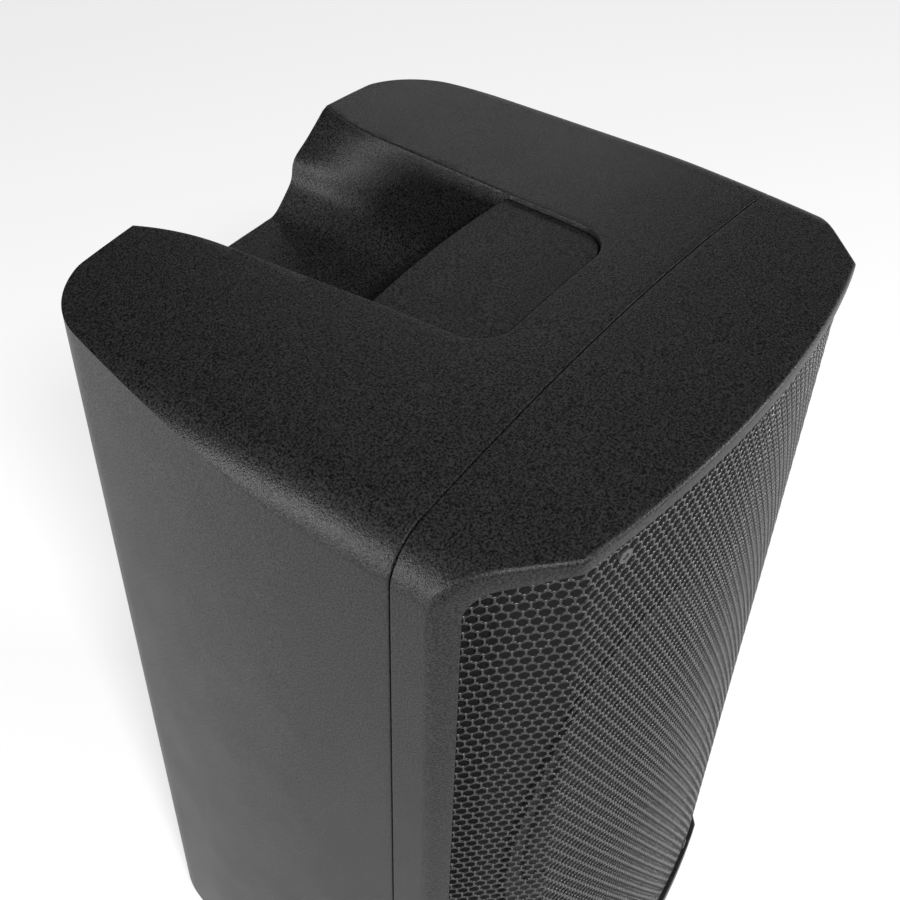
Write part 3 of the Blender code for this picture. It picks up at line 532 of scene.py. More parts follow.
def box_piece(name, x0, x1, y0, y1, z0, z1):
    """A block between two corners, in millimetres, as a primitive brought to size."""
    deselect()
    bpy.ops.mesh.primitive_cube_add(size=1.0, location=[(a + b) * 0.5 * MM
                                                        for a, b in ((x0, x1), (y0, y1), (z0, z1))])
    obj = bpy.context.object
    obj.name = name
    obj.scale = ((x1 - x0) * MM, (y1 - y0) * MM, (z1 - z0) * MM)
    bpy.ops.object.transform_apply(location=True, rotation=True, scale=True)
    return obj


def round_piece(name, radius, at, y0, y1, sides=48, axis="Y"):
    """A cylinder along Y or Z, in millimetres."""
    deselect()
    turn = (math.pi / 2, 0, 0) if axis == "Y" else (0, 0, 0)
    mid = (y0 + y1) * 0.5
    place = (at[0], mid, at[1]) if axis == "Y" else (at[0], at[1], mid)
    bpy.ops.mesh.primitive_cylinder_add(vertices=sides, radius=radius * MM, depth=(y1 - y0) * MM,
                                        location=[c * MM for c in place], rotation=turn)
    obj = bpy.context.object
    obj.name = name
    bpy.ops.object.transform_apply(location=True, rotation=True, scale=True)
    return obj


def pick(obj, test):
    """In edit mode, select the faces that pass the test and nothing else."""
    bpy.ops.mesh.select_mode(type="FACE")
    bpy.ops.mesh.select_all(action="DESELECT")
    bm = bmesh.from_edit_mesh(obj.data)
    for face in bm.faces:
        face.select_set(bool(test(face)))
    bmesh.update_edit_mesh(obj.data)


def cap_faces(obj, direction, level=None):
    """Select the faces that look in a direction; the farthest ones if no level is given."""
    way = Vector(direction)

    def test(face):
        if face.normal.dot(way) < 0.98:
            return False
        return level is None or abs(face.calc_center_median().dot(way) - level * MM) < 0.00012
    pick(obj, test)


def dish(obj, direction, rim, push, level=None):
    """Sink or raise the middle of a flat end, leaving a rim of the given width."""
    bpy.ops.object.mode_set(mode="EDIT")
    cap_faces(obj, direction, level)
    bpy.ops.mesh.inset(thickness=rim * MM)
    bpy.ops.mesh.extrude_region_move(TRANSFORM_OT_translate={"value": [c * MM for c in push]})
    bpy.ops.object.mode_set(mode="OBJECT")
    return obj


def soften(obj, width, segments=3, angle=35):
    """Round every real edge."""
    hold(obj)
    mod = obj.modifiers.new("round", "BEVEL")
    mod.width, mod.segments, mod.limit_method, mod.angle_limit = width * MM, segments, "ANGLE", math.radians(angle)
    mod.harden_normals = False
    bpy.ops.object.modifier_apply(modifier=mod.name)
    return rounds(obj, angle)


def carve(obj, tool, operation="DIFFERENCE"):
    """Cut with another piece, which is used up."""
    hold(obj)
    mod = obj.modifiers.new("cut", "BOOLEAN")
    mod.operation, mod.solver, mod.object = operation, "EXACT", tool
    bpy.ops.object.modifier_apply(modifier=mod.name)
    bpy.data.objects.remove(tool, do_unlink=True)
    return obj


def join(name, parts):
    """One piece from several."""
    deselect()
    for part in parts:
        part.select_set(True)
    bpy.context.view_layer.objects.active = parts[0]
    bpy.ops.object.join()
    parts[0].name = name
    return parts[0]


def eased_copy(node, name, width, segments=2, angle=30):
    """A copy of a frame node with its edges rounded."""
    hold(NODES[node])
    bpy.ops.object.duplicate()
    obj = bpy.context.object
    for key in list(obj.keys()):
        del obj[key]
    obj.parent = None
    obj.name = name
    hold(obj)
    bpy.ops.object.mode_set(mode="EDIT")
    bpy.ops.mesh.select_all(action="SELECT")
    bpy.ops.mesh.remove_doubles(threshold=0.00001)
    bpy.ops.mesh.dissolve_limited(angle_limit=math.radians(0.5))
    bpy.ops.object.mode_set(mode="OBJECT")
    return soften(obj, width, segments, angle)


# ---------------------------------------------------------------- cabinet shape

def front_y(x):
    """Front edge of the plan: a shallow bow, then a 45 degree corner."""
    x = abs(x)
    if x <= BEND_X:
        return BEND_Y - FRONT_BOW * (1 - (x / BEND_X) ** 2)
    return BEND_Y + (x - BEND_X)


def side_x(y):
    return HALF_WIDTH - SIDE_BOW * max(0.0, y - SIDE_BOW_Y) ** 2


def corner_centre():
    """Centre of the rear corner's arc, and the angle where it meets the side."""
    cy, ang = REAR_Y - CORNER_R, 0.2
    for _ in range(20):
        ang = math.atan(2 * SIDE_BOW * (cy + CORNER_R * math.sin(ang) - SIDE_BOW_Y))
    return side_x(cy + CORNER_R * math.sin(ang)) - CORNER_R * math.cos(ang), cy, ang


def half_width(y):
    """Half width at any place behind the front bends."""
    cx, cy, ang = corner_centre()
    if y <= cy + CORNER_R * math.sin(ang):
        return side_x(y)
    return cx + math.sqrt(max(0.0, CORNER_R ** 2 - (y - cy) ** 2))


def crown(y):
    t = y - CROWN_Y
    if t < 0:
        return EDGE_Z + CROWN_RISE - 0.00028 * t * t
    return EDGE_Z + CROWN_RISE - 0.055 * (math.hypot(t, 20.0) - 20.0)


TANGENT_X = FILLET_X + FILLET_R * math.sin(math.atan(2 * CROWN_X * 169.0))
TANGENT_A = math.asin((TANGENT_X - FILLET_X) / FILLET_R)


def top_z(x, y):
    """Height of the cabinet's top."""
    x = abs(x)
    if x <= TANGENT_X:
        return crown(y) - CROWN_X * x * x
    zc = crown(y) - CROWN_X * TANGENT_X ** 2 - math.sqrt(FILLET_R ** 2 - (TANGENT_X - FILLET_X) ** 2)
    dx = min(x - FILLET_X, FILLET_R)
    return zc + math.sqrt(max(0.0, FILLET_R ** 2 - dx * dx))


def shrink(ring, d):
    """Move a closed outline of (x, z) points inward by d."""
    pts = np.array(ring, float)
    ahead, behind = np.roll(pts, -1, 0) - pts, pts - np.roll(pts, 1, 0)
    normals = []
    for a, b in zip(ahead, behind):
        na, nb = (np.array((-v[1], v[0])) / max(1e-9, math.hypot(*v)) for v in (a, b))
        normals.append((na + nb) / max(0.3, 1 + float(na @ nb)))
    area = 0.5 * float(np.sum(pts[:, 0] * np.roll(pts[:, 1], -1) - np.roll(pts[:, 0], -1) * pts[:, 1]))
    sign = 1.0 if area > 0 else -1.0
    return [tuple(p + sign * d * n) for p, n in zip(pts, normals)]


def section(y, lower=0.0):
    """Outline of the cabinet across its width at y, clockwise from the bottom left."""
    w = half_width(y)
    xa = min(TANGENT_X, 0.9 * w)
    half = [xa * k / 22.0 for k in range(23)]
    if w > TANGENT_X + 1.0:
        a1 = math.asin(min(1.0, (w - FILLET_X) / FILLET_R))
        half += [FILLET_X + FILLET_R * math.sin(TANGENT_A + (a1 - TANGENT_A) * k / 14.0) for k in range(1, 15)]
        half[-1] = w
    else:
        half += [xa + (w - xa) * k / 14.0 for k in range(1, 15)]
    right = [(x, top_z(x, y) - lower) for x in half]
    foot = [(w - BASE_R * (1 - math.cos(t)), FOOT_H + BASE_R * (1 - math.sin(t)))
            for t in (math.pi / 12 * k for k in range(7))]
    low = right[-1][1]
    side = [(w, low - d) for d in (0.5, 1.2, 3.0, 8.0)]
    side += [(w, low - 8.0 + (FOOT_H + BASE_R - low + 8.0) * k / 8.0) for k in range(1, 8)]
    right = right + side + foot
    return [(-x, z) for x, z in reversed(right)] + right[1:]


# ---------------------------------------------------------------- casings

def depth_run(d):
    """How far back the corner's face lies when the front lies back by d."""
    return d * (GRILLE_BACK + CORNER_BACK) / GRILLE_BACK


def bend_at(d, run=None):
    """Where the bow moved back by d meets the corner's face moved back by its own run."""
    run = depth_run(d) if run is None else run
    low, high = 100.0, BEND_X
    for _ in range(50):
        x = 0.5 * (low + high)
        ahead = front_y(x) + d - (BEND_Y + x - BEND_X + run * math.sqrt(2))
        low, high = (x, high) if ahead > 0 else (low, x)
    return x


def face_point(place, value, d):
    """Plan point on the lip's face, moved back by d; place is 0 on the bow and -1 or 1 on a corner."""
    xb = bend_at(d) if d > 0 else BEND_X
    if place == 0:
        x = value * xb / BEND_X
        return x, front_y(x) + d
    run = depth_run(d)
    ub = (xb - BEND_X) * math.sqrt(2) + run
    u = ub + value * (OPEN_U - ub) / OPEN_U
    c = math.sqrt(0.5)
    return place * (BEND_X + (u - run) * c), BEND_Y + (u + run) * c


def corner_point(u, side):
    c = math.sqrt(0.5)
    return side * (BEND_X + u * c), BEND_Y + u * c


def stations():
    """Matched points round the opening: its own edge, and the casing's outer edge."""
    out = []
    edge = top_z(BEND_X, BEND_Y) - LIP
    steps = 20
    psi0 = math.asin((corner_point(CORNER_U, 1)[0] - FILLET_X) / FILLET_R)

    def corner(top, k):
        phi = 0.5 * math.pi * k / steps
        u = CORNER_U + 16.0 * math.sin(phi)
        drop = 0.16 * u + OPEN_CORNER * (1 - math.cos(phi))
        if top:
            psi = psi0 + (0.5 * math.pi - psi0) * phi / (0.5 * math.pi)
            x = min(HALF_WIDTH, FILLET_X + FILLET_R * math.sin(psi))
            return u, edge - drop, x, "top"
        x = HALF_WIDTH - BASE_R * (1 - math.sin(phi))
        return u, OPEN_Z0 + drop, x, FOOT_H + BASE_R * (1 - math.cos(phi))

    def half(side):
        rows = []
        for k in range(8):
            u = CORNER_U * k / 8.0
            rows.append((side, u, edge - 0.16 * u, BEND_X + u * math.sqrt(0.5), "top"))
        for k in range(steps + 1):
            u, z, x, mark = corner(True, k)
            rows.append((side, u, z, x, mark))
        z_top = edge - 0.16 * OPEN_U - OPEN_CORNER
        z_low = OPEN_Z0 + 0.16 * OPEN_U + OPEN_CORNER
        o_top = top_z(HALF_WIDTH, corner_point(FACET, 1)[1])
        for k in range(1, 14):
            f = k / 14.0
            rows.append((side, OPEN_U, z_top + (z_low - z_top) * f, HALF_WIDTH,
                         o_top + (FOOT_H + BASE_R - o_top) * f))
        for k in range(steps, -1, -1):
            u, z, x, mark = corner(False, k)
            rows.append((side, u, z, x, mark))
        reach = (HALF_WIDTH - BASE_R - BEND_X)
        for k in range(7, -1, -1):
            u = CORNER_U * k / 8.0
            rows.append((side, u, OPEN_Z0 + 0.16 * u, BEND_X + reach * k / 8.0, FOOT_H))
        return rows

    bow = 72
    for k in range(1, bow):
        x = -BEND_X + 2 * BEND_X * k / bow
        out.append((0, x, top_z(x, front_y(x)) - LIP, x, "top"))
    out += half(1)
    for k in range(bow - 1, 0, -1):
        x = -BEND_X + 2 * BEND_X * k / bow
        out.append((0, x, OPEN_Z0, x, FOOT_H))
    out += half(-1)[::-1]
    return out


def front_casing():
    """The casing in front of the seam, lofted from the opening out to the seam and back inside."""
    r, rs = sizes().lip_round / MM, sizes().seam_round / MM
    seam = SEAM_Y - SEAM_GAP / 2
    places = stations()
    y_corner = corner_point(FACET, 1)[1]

    def outer_z(x, y, mark):
        if mark == "top":
            return top_z(x, y)
        if mark > 200.0:
            part = (mark - 200.0) / 430.0
            return mark + part * (top_z(HALF_WIDTH, y) - top_z(HALF_WIDTH, y_corner))
        return mark

    def rim(d, out):
        ring = []
        for place, v, z, x, mark in places:
            px, py = face_point(place, v, d)
            ring.append(Vector((px, py, z)))
        if not out:
            return ring
        moved = []
        for i, (place, v, z, x, mark) in enumerate(places):
            side = place or 1
            edge = Vector((*((x, front_y(x)) if place == 0 else (side * x, front_y(x))), 0))
            edge.z = outer_z(abs(x), edge.y, mark)
            if place == 0:
                away = Vector((0, 0, 1.0 if mark == "top" else -1.0))
            elif abs(v - OPEN_U) < 1e-6 and mark != "top":
                away = Vector((side, 1.0, 0)).normalized()
            else:
                before, after = ring[i - 1], ring[(i + 1) % len(ring)]
                along = (after - before).normalized()
                face = Vector((side, -1.0, 0)).normalized()
                away = along.cross(face).normalized()
                if away.dot(edge - ring[i]) < 0:
                    away.negate()
            moved.append(ring[i] + away * out)
        return moved

    loops = [rim(GRILLE_BACK, 0.0), rim(1.6, 0.0), rim(0.8, 0.0)]
    flat = rim(0.0, 0.0)
    proud = rim(0.0, 0.8)
    for t in (0.4, 0.8, 1.2):
        loops.append([a + (b - a) * (1 - math.cos(t)) + (c - a) * (1 - math.sin(t))
                      for a, b, c in zip(flat, proud, loops[2])])
    loops.append(proud)

    edges, downs, backs, inward = [], [], [], []
    for place, v, z, x, mark in places:
        side = place or 1
        px = x if place == 0 else side * x
        py = front_y(x)
        p = Vector((px, py, outer_z(abs(x), py, mark)))
        blend = 0.0 if place == 0 else max(0.0, min(1.0, (abs(x) - 178.0) / 17.0)) ** 2
        reach = r if place == 0 else r * math.sqrt(2) * (1 - blend) + CHEEK_RUN * blend
        inward.append(r * (1 - blend) + CHEEK_RUN * blend)
        qy = py + reach
        q = Vector((px, qy, outer_z(abs(x), qy, mark)))
        edges.append(p)
        backs.append(q)
    for p, a, reach in zip(edges, proud, inward):
        downs.append(p + (a - p).normalized() * min(reach, 0.6 * (a - p).length))
    loops.append([a + (b - a) * 0.5 for a, b in zip(proud, downs)])
    for k in range(8):
        t = 0.5 * math.pi * k / 7
        loops.append([p + (a - p) * (1 - math.sin(t)) + (q - p) * (1 - math.cos(t))
                      for p, a, q in zip(edges, downs, backs)])
    rows = 26
    for k in range(1, rows + 1):
        ring = []
        for q, (place, v, z, x, mark) in zip(backs, places):
            y = q.y + (seam - rs - q.y) * k / rows
            ring.append(Vector((q.x, y, outer_z(abs(x), y, mark))))
        loops.append(ring)
    last = [(p.x, p.z) for p in loops[-1]]
    for k in range(1, 5):
        t = 0.5 * math.pi * k / 4
        loops.append([Vector((x, seam - rs * (1 - math.sin(t)), z))
                      for x, z in shrink(last, rs * (1 - math.cos(t)))])
    inner = shrink(last, WALL)
    loops.append([Vector((x, seam, z)) for x, z in inner])
    ring = []
    xb = bend_at(GRILLE_BACK)
    run = depth_run(GRILLE_BACK) * math.sqrt(2)
    for (x, z), (_, _, _, ox, mark) in zip(inner, places):
        y = front_y(x) + GRILLE_BACK if abs(x) < xb else BEND_Y + abs(x) - BEND_X + run
        shift = top_z(abs(ox), y) - top_z(abs(ox), seam) if mark == "top" else 0.0
        ring.append(Vector((x, y, z + shift)))
    loops.append(ring)
    obj = loft("front_casing", [[tuple(p) for p in loop] for loop in loops], ends=False, around=True)
    rounds(obj, 42)
    return fit(obj, "casing", "cabinet", "front_bezel", slot="casing")


def pocket_half(y):
    """Half width of the hand pocket's mouth."""
    return 63.0 + 0.068 * (y + 10.0) + 11.5 * max(0.0, (y - 125.0) / 61.4) ** 2.2


def pocket_floor(y):
    return EDGE_Z - 75.5 + 0.092 * (y - POCKET_Y0)


def smooth_run(points, steps=4):
    """More points along a curve through the given ones."""
    pts = [Vector(p) for p in points]
    out = []
    for i in range(len(pts) - 1):
        p0, p1, p2, p3 = pts[max(0, i - 1)], pts[i], pts[i + 1], pts[min(len(pts) - 1, i + 2)]
        for k in range(steps):
            t = k / steps
            out.append(0.5 * ((2 * p1) + (p2 - p0) * t + (2 * p0 - 5 * p1 + 4 * p2 - p3) * t * t
                              + (3 * p1 - p0 - 3 * p2 + p3) * t ** 3))
    out.append(pts[-1])
    return out


def pocket_section(y, scale=1.0):
    """Section of the hand pocket at y, flared where it meets the top."""
    front = ((0.0, 0.0), (0.42, 0.0), (0.60, 0.025), (0.75, 0.11), (0.86, 0.26), (0.93, 0.50), (0.975, 0.78),
             (1.0, 1.0))
    rear = ((0.0, 0.0), (0.24, 0.0), (0.36, 0.02), (0.49, 0.19), (0.565, 0.33), (0.61, 0.56), (0.78, 0.74),
            (1.0, 1.0))
    w, z0 = pocket_half(y) * scale, pocket_floor(y)
    z1 = top_z(w, min(y, REAR_Y))
    mix = min(1.0, max(0.0, (y - 100.0) / 86.0)) ** 1.6
    key = [((fa + (fb - fa) * mix) * w, z0 + (ha + (hb - ha) * mix) * (z1 - z0))
           for (fa, ha), (fb, hb) in zip(front, rear)]
    right = [tuple(p) for p in smooth_run(key, 4)][:-1]
    r = 1.5
    right = [p for p in right if p[1] < z1 - r]
    lean = 0.25 * (1 - mix) + 0.8 * mix
    for t in (0.0, 0.35, 0.7, 1.05, 1.4):
        right.append((w + r * (1 - math.cos(t)) - lean * r * (1 - math.sin(t)) * 0.3,
                      z1 - r * (1 - math.sin(t)) + 0.03))
    right.append((w + 4.0, z1 + 0.9))
    right.append((w + 4.2, ABOVE))
    fixed = 36
    while len(right) < fixed:
        gaps = [math.dist(right[i], right[i + 1]) for i in range(len(right) - 3)]
        i = gaps.index(max(gaps))
        right.insert(i + 1, tuple(0.5 * (a + b) for a, b in zip(right[i], right[i + 1])))
    return [(-x, y, z) for x, z in reversed(right)] + [(x, y, z) for x, z in right[1:]]


def pocket_tool():
    ys = [POCKET_Y0 + step for step in (0, 2, 5, 9, 16)]
    scales = [0.86, 0.92, 0.955, 0.985, 1.0]
    more = list(np.arange(30.0, 186.0, 4.0)) + [REAR_Y, 190.0, 200.0]
    return loft("pocket", [pocket_section(y, s) for y, s in zip(ys, scales)]
                + [pocket_section(float(y)) for y in more])


def grip_outline(half, y0, y1, r, bow, steps=14):
    """Outline of the grip: round front corners and a bowed rear edge."""
    pts = []
    for i in range(steps + 1):
        t = math.pi / 2 * i / steps
        pts.append((half - r + r * math.sin(t), y0 + r - r * math.cos(t)))
    rear = half + 0.03 * (y1 - y0)
    for i in range(1, 8):
        f = i / 8.0
        pts.append((half + (rear - half) * f, y0 + r + (y1 - y0 - r) * f))
    for i in range(33):
        x = rear * (1 - i / 16.0)
        pts.append((x, y1 + bow * (1 - (x / rear) ** 2)))
    for i in range(7, 0, -1):
        f = i / 8.0
        pts.append((-(half + (rear - half) * f), y0 + r + (y1 - y0 - r) * f))
    for i in range(steps + 1):
        t = math.pi / 2 * (1 - i / steps)
        pts.append((-(half - r + r * math.sin(t)), y0 + r - r * math.cos(t)))
    for i in range(1, 16):
        pts.append((-(half - r) + 2 * (half - r) * i / 16.0, y0))
    return pts


def recess_tool():
    """The grip's recess, with a flared rim."""
    base = grip_outline(GRIP_HALF, GRIP_Y0, GRIP_EDGE_Y - 1.0, GRIP_R, 2.0)
    r = 0.8
    rings = [[(x, y, GRIP_FLOOR) for x, y in base], [(x, y, top_z(x, y) - r) for x, y in base]]
    for t in (0.4, 0.8, 1.2):
        wide = shrink(base, -r * (1 - math.cos(t)))
        rings.append([(x, y, top_z(x, y) - r * (1 - math.sin(t)) + 0.02) for x, y in wide])
    wide = shrink(base, -r * 1.6)
    rings.append([(x, y, top_z(x, y) + 0.2) for x, y in wide])
    rings.append([(x, y, ABOVE) for x, y in wide])
    return loft("recess", rings)


def rear_casing():
    """The casing behind the seam, with the hand pocket, the column's bay and the panel recesses."""
    rs = sizes().seam_round / MM
    seam = SEAM_Y + SEAM_GAP / 2
    rings = []
    for k in range(5):
        t = 0.5 * math.pi * k / 4
        y = seam + rs * (1 - math.cos(t))
        rings.append([(x, y, z) for x, z in shrink(section(seam + rs), rs * (1 - math.sin(t)))])
    cx, cy, ang = corner_centre()
    end = cy + CORNER_R * math.sin(ang)
    ys = list(np.linspace(seam + rs, end, 54))[1:]
    ys += [cy + CORNER_R * math.sin(ang + (math.pi / 2 - ang) * k / 24) for k in range(1, 25)]
    for y in ys:
        over = max(0.0, y - (REAR_Y - 2.0))
        lower = 2.0 - math.sqrt(max(0.0, 4.0 - over * over))
        rings.append([(x, float(y), z) for x, z in section(float(y), lower)])
    shell = loft("rear_casing", rings)
    plan = []
    for y in list(np.linspace(-120.0, end, 18)) + [cy + CORNER_R * math.sin(ang + (math.pi / 2 - ang) * k / 8)
                                                   for k in range(1, 9)]:
        plan.append((half_width(float(y)) - WALL, min(float(y), REAR_Y - WALL)))
    plan = plan + [(-x, y) for x, y in reversed(plan)]
    hollow = loft("hollow", [[(x, y, z) for x, y in plan] for z in (FOOT_H + WALL + 1, 616.0)])
    carve(hollow, box_piece("pocket_wall", -90, 90, POCKET_Y0 - 5, BEHIND, 566, 700))
    carve(hollow, box_piece("bay_wall", -BAY_X - 4, BAY_X + 4, BAY_Y - 4, BEHIND, BAY_Z0 - 4, 620))
    for s in (-1, 1):
        xa, xb = sorted((s * (BAY_X + 2), s * (PANEL_X1 + 4)))
        carve(hollow, box_piece("panel_wall", xa, xb, 155, BEHIND, PANEL_Z0 - 4, PANEL_Z1 + 4))
        xa, xb = sorted((s * (BAY_X + 2), s * 92.0))
        carve(hollow, box_piece("notch_wall", xa, xb, 140, BEHIND, 496, 566))
    carve(shell, hollow)
    carve(shell, pocket_tool())
    carve(shell, recess_tool())
    carve(shell, box_piece("bay", -BAY_X, BAY_X, BAY_Y, BEHIND, BAY_Z0, BAY_Z1))
    for s in (-1, 1):
        xa, xb = sorted((s * PANEL_X0, s * PANEL_X1))
        carve(shell, box_piece("panel_recess", xa, xb, PANEL_FACE - PANEL_T - 0.3, BEHIND, PANEL_Z0, PANEL_Z1))
        carve(shell, box_piece("panel_hole", xa + 4, xb - 4, 150, BEHIND, PANEL_Z0 + 4, PANEL_Z1 - 4))
        xa, xb = sorted((s * (BAY_X - 1), s * 86.0))
        notch = box_piece("notch", xa, xb, 146, BEHIND, 502, 560)
        carve(shell, soften(notch, 6.0, 5))
    carve(shell, box_piece("socket_hole", -SOCKET_X - 0.3, SOCKET_X + 0.3, SOCKET_Y - SOCKET_D - 0.3,
                           SOCKET_Y + SOCKET_D + 0.3, 540, 600))
    rounds(shell, 28)
    return fit(shell, "casing", "cabinet", "rear_shell", slot="casing")


def grip_insert():
    """The grip in front of the hand pocket: a crowned plate with a rounded edge."""
    base = grip_outline(GRIP_HALF - 0.3, GRIP_Y0 + 0.3, GRIP_EDGE_Y - 2.0, GRIP_R - 0.3, 2.0)
    r = 1.4

    def level(x, y):
        return top_z(x, y) - GRIP_STEP

    rings = [[(x, y, GRIP_FLOOR + 1.5) for x, y in base]]
    low = shrink(base, 1.2)
    rings.insert(0, [(x, y, GRIP_FLOOR + 0.3) for x, y in low])
    for t in (0.0, 0.4, 0.8, 1.2, 0.5 * math.pi):
        ring = shrink(base, r * (1 - math.cos(t)))
        rings.append([(x, y, level(x, y) - r * (1 - math.sin(t))) for x, y in ring])
    inner = rings[-1]
    mid = (0.0, -14.0)
    for f in (0.94, 0.86, 0.76, 0.64, 0.52, 0.40, 0.28, 0.16, 0.05):
        pts = [(mid[0] + (x - mid[0]) * f, mid[1] + (y - mid[1]) * f) for x, y, z in inner]
        rings.append([(x, y, level(x, y)) for x, y in pts])
    obj = loft("grip_insert", rings)
    rounds(obj, 40)
    return fit(obj, "grip", "cabinet", "handle_plate", slot="grip")


# ---------------------------------------------------------------- perforated sheets

def sheet_path():
    """Plan of the grille sheet's front face: points, and distance from the middle of its bow."""
    d = GRILLE_BACK + 0.4
    xb = bend_at(d, depth_run(GRILLE_BACK) + 0.4)
    bow = [(x, front_y(x) + d) for x in np.linspace(0.0, xb, 240)]
    yb = bow[-1][1]
    corner = [(xb + 0.5 * k * math.sqrt(0.5), yb + 0.5 * k * math.sqrt(0.5)) for k in range(1, 160)]
    right = np.array(bow + corner)
    s = np.concatenate(([0.0], np.cumsum(np.hypot(*np.diff(right, axis=0).T))))
    bend = s[239]
    even = np.arange(0.0, s[-1], 0.5)
    x, y = np.interp(even, s, right[:, 0]), np.interp(even, s, right[:, 1])
    full_s = np.concatenate((-even[:0:-1], even))
    full_x = np.concatenate((-x[:0:-1], x))
    full_y = np.concatenate((y[:0:-1], y))
    for axis in (full_x, full_y):
        wide = np.convolve(axis, np.ones(9) / 9.0, "same")
        axis[6:-6] = wide[6:-6]
    return full_s, full_x, full_y, bend, xb


def cell_mesh(name, centres, pitch, hole, thick, place, trim=None):
    """A sheet of six-sided cells, each with a rounded hole; place puts (s, z, depth) in space."""
    flat, point = 0.5 * pitch, pitch / math.sqrt(3)
    r_flat, r_point = 0.5 * hole, 0.5 * hole * 1.095
    angle = np.radians(np.arange(12) * 30.0)
    corner = (np.arange(12) % 2 == 1)
    outer = np.stack((np.cos(angle), np.sin(angle)), 1) * np.where(corner, point, flat)[:, None]
    hole_ring = np.stack((np.cos(angle), np.sin(angle)), 1) * np.where(corner, r_point, r_flat)[:, None]
    ease = 0.40
    layers = [(outer, 0.0), (hole_ring * (1 + ease / r_flat), 0.0), (hole_ring, ease), (hole_ring, thick - 0.1),
              (outer, thick)]
    centres = np.array(centres)
    verts = []
    n = len(centres)
    for ring, depth in layers:
        pts = centres[:, None, :] + ring[None, :, :]
        if trim is not None:
            pts = trim(pts)
        verts.append(np.concatenate((pts, np.full((n, 12, 1), depth)), 2).reshape(-1, 3))
    flat_verts = np.concatenate(verts)
    keys = np.round(flat_verts / 0.02).astype(np.int64)
    unique, first, index = np.unique(keys, axis=0, return_index=True, return_inverse=True)
    index = index.reshape(len(layers), n, 12)
    nxt = np.roll(index, -1, axis=2)
    quads = []
    for a, b in ((0, 1), (1, 2), (2, 3), (3, 4)):
        quads.append(np.stack((index[a], nxt[a], nxt[b], index[b]), -1).reshape(-1, 4))
    front = np.stack((index[0], nxt[0]), -1).reshape(-1, 2)
    rear = np.stack((index[-1], nxt[-1]), -1).reshape(-1, 2)
    span = len(unique)
    lone = ~np.isin(front[:, 0] * span + front[:, 1], front[:, 1] * span + front[:, 0])
    quads.append(np.concatenate((front[lone][:, ::-1], rear[lone]), 1))
    quads = np.concatenate(quads)
    keep = [tuple(dict.fromkeys(q)) for q in quads.tolist()]
    faces = [q for q in keep if len(q) > 2]
    pts = flat_verts[first]
    xyz = place(pts[:, 0], pts[:, 1], pts[:, 2])
    obj = sheet_of(name, xyz.tolist(), faces)
    return rounds(point_out(obj), 50)


def grille():
    """The bent perforated sheet, in four parts that follow its bends."""
    pitch, hole = sizes().hole_pitch / MM, sizes().hole_width / MM
    s_path, x_path, y_path, bend, xb = sheet_path()
    run = depth_run(GRILLE_BACK) + 0.4
    u_bend = (xb - BEND_X) * math.sqrt(2) + run
    dx, dy = np.gradient(x_path, s_path), np.gradient(y_path, s_path)
    size = np.hypot(dx, dy)
    nx, ny = -dy / size, dx / size
    edge = top_z(BEND_X, BEND_Y) - LIP

    def top_edge(s):
        a = np.abs(s)
        x = np.interp(a, s_path, x_path)
        y = np.array([front_y(v) for v in x.ravel()]).reshape(x.shape)
        high = np.vectorize(top_z)(x, y) - LIP
        u = np.clip(a - bend + u_bend, 0, None)
        over = np.clip((u - CORNER_U) / 16.0, 0, 1)
        drop = 0.16 * u + OPEN_CORNER * (1 - np.sqrt(1 - over ** 2))
        return np.where(a < bend, high, edge - drop), np.where(a < bend, 0.0, drop), u

    def place(s, z, d):
        x = np.interp(s, s_path, x_path) + np.interp(s, s_path, nx) * d
        y = np.interp(s, s_path, y_path) + np.interp(s, s_path, ny) * d
        return np.stack((x, y, z), 1)

    s_end = bend + OPEN_U - u_bend + 2.4

    def trim(pts):
        s = np.clip(pts[..., 0], -s_end, s_end)
        high, drop, u = top_edge(s)
        z = np.clip(pts[..., 1], OPEN_Z0 + drop - 2.4, high + 2.6)
        return np.stack((s, z), -1)

    start = -(bend + 50.0 - u_bend)
    row_pitch = pitch * math.sqrt(3) / 2
    cells = []
    for row in range(-4, 102):
        z = 638.3 - row * row_pitch
        shift = 0.5 * pitch * (row % 2)
        for k in range(-6, 70):
            s = start + shift + k * pitch
            if abs(s) > s_end + 0.3 * pitch:
                continue
            high, drop, u = top_edge(np.array([min(abs(s), s_end)]))
            if z > high[0] + 2.6 + 0.25 * pitch or z < OPEN_Z0 + drop[0] - 2.4 - 0.25 * pitch:
                continue
            cells.append((s, z))
    groups = {"grille_corner_left": [], "grille_left": [], "grille_right": [], "grille_corner_right": []}
    names = list(groups)
    for s, z in cells:
        groups[names[0 if s < -bend else 1 if s < 0 else 2 if s < bend else 3]].append((s, z))
    pieces = [cell_mesh(name, group, pitch, hole, GRILLE_T, place, trim) for name, group in groups.items()]
    for i, piece in enumerate(pieces):
        fit(piece, "grille", "cabinet", *(("grille_panel",) if i == 0 else ()), slot="grille")
    return pieces


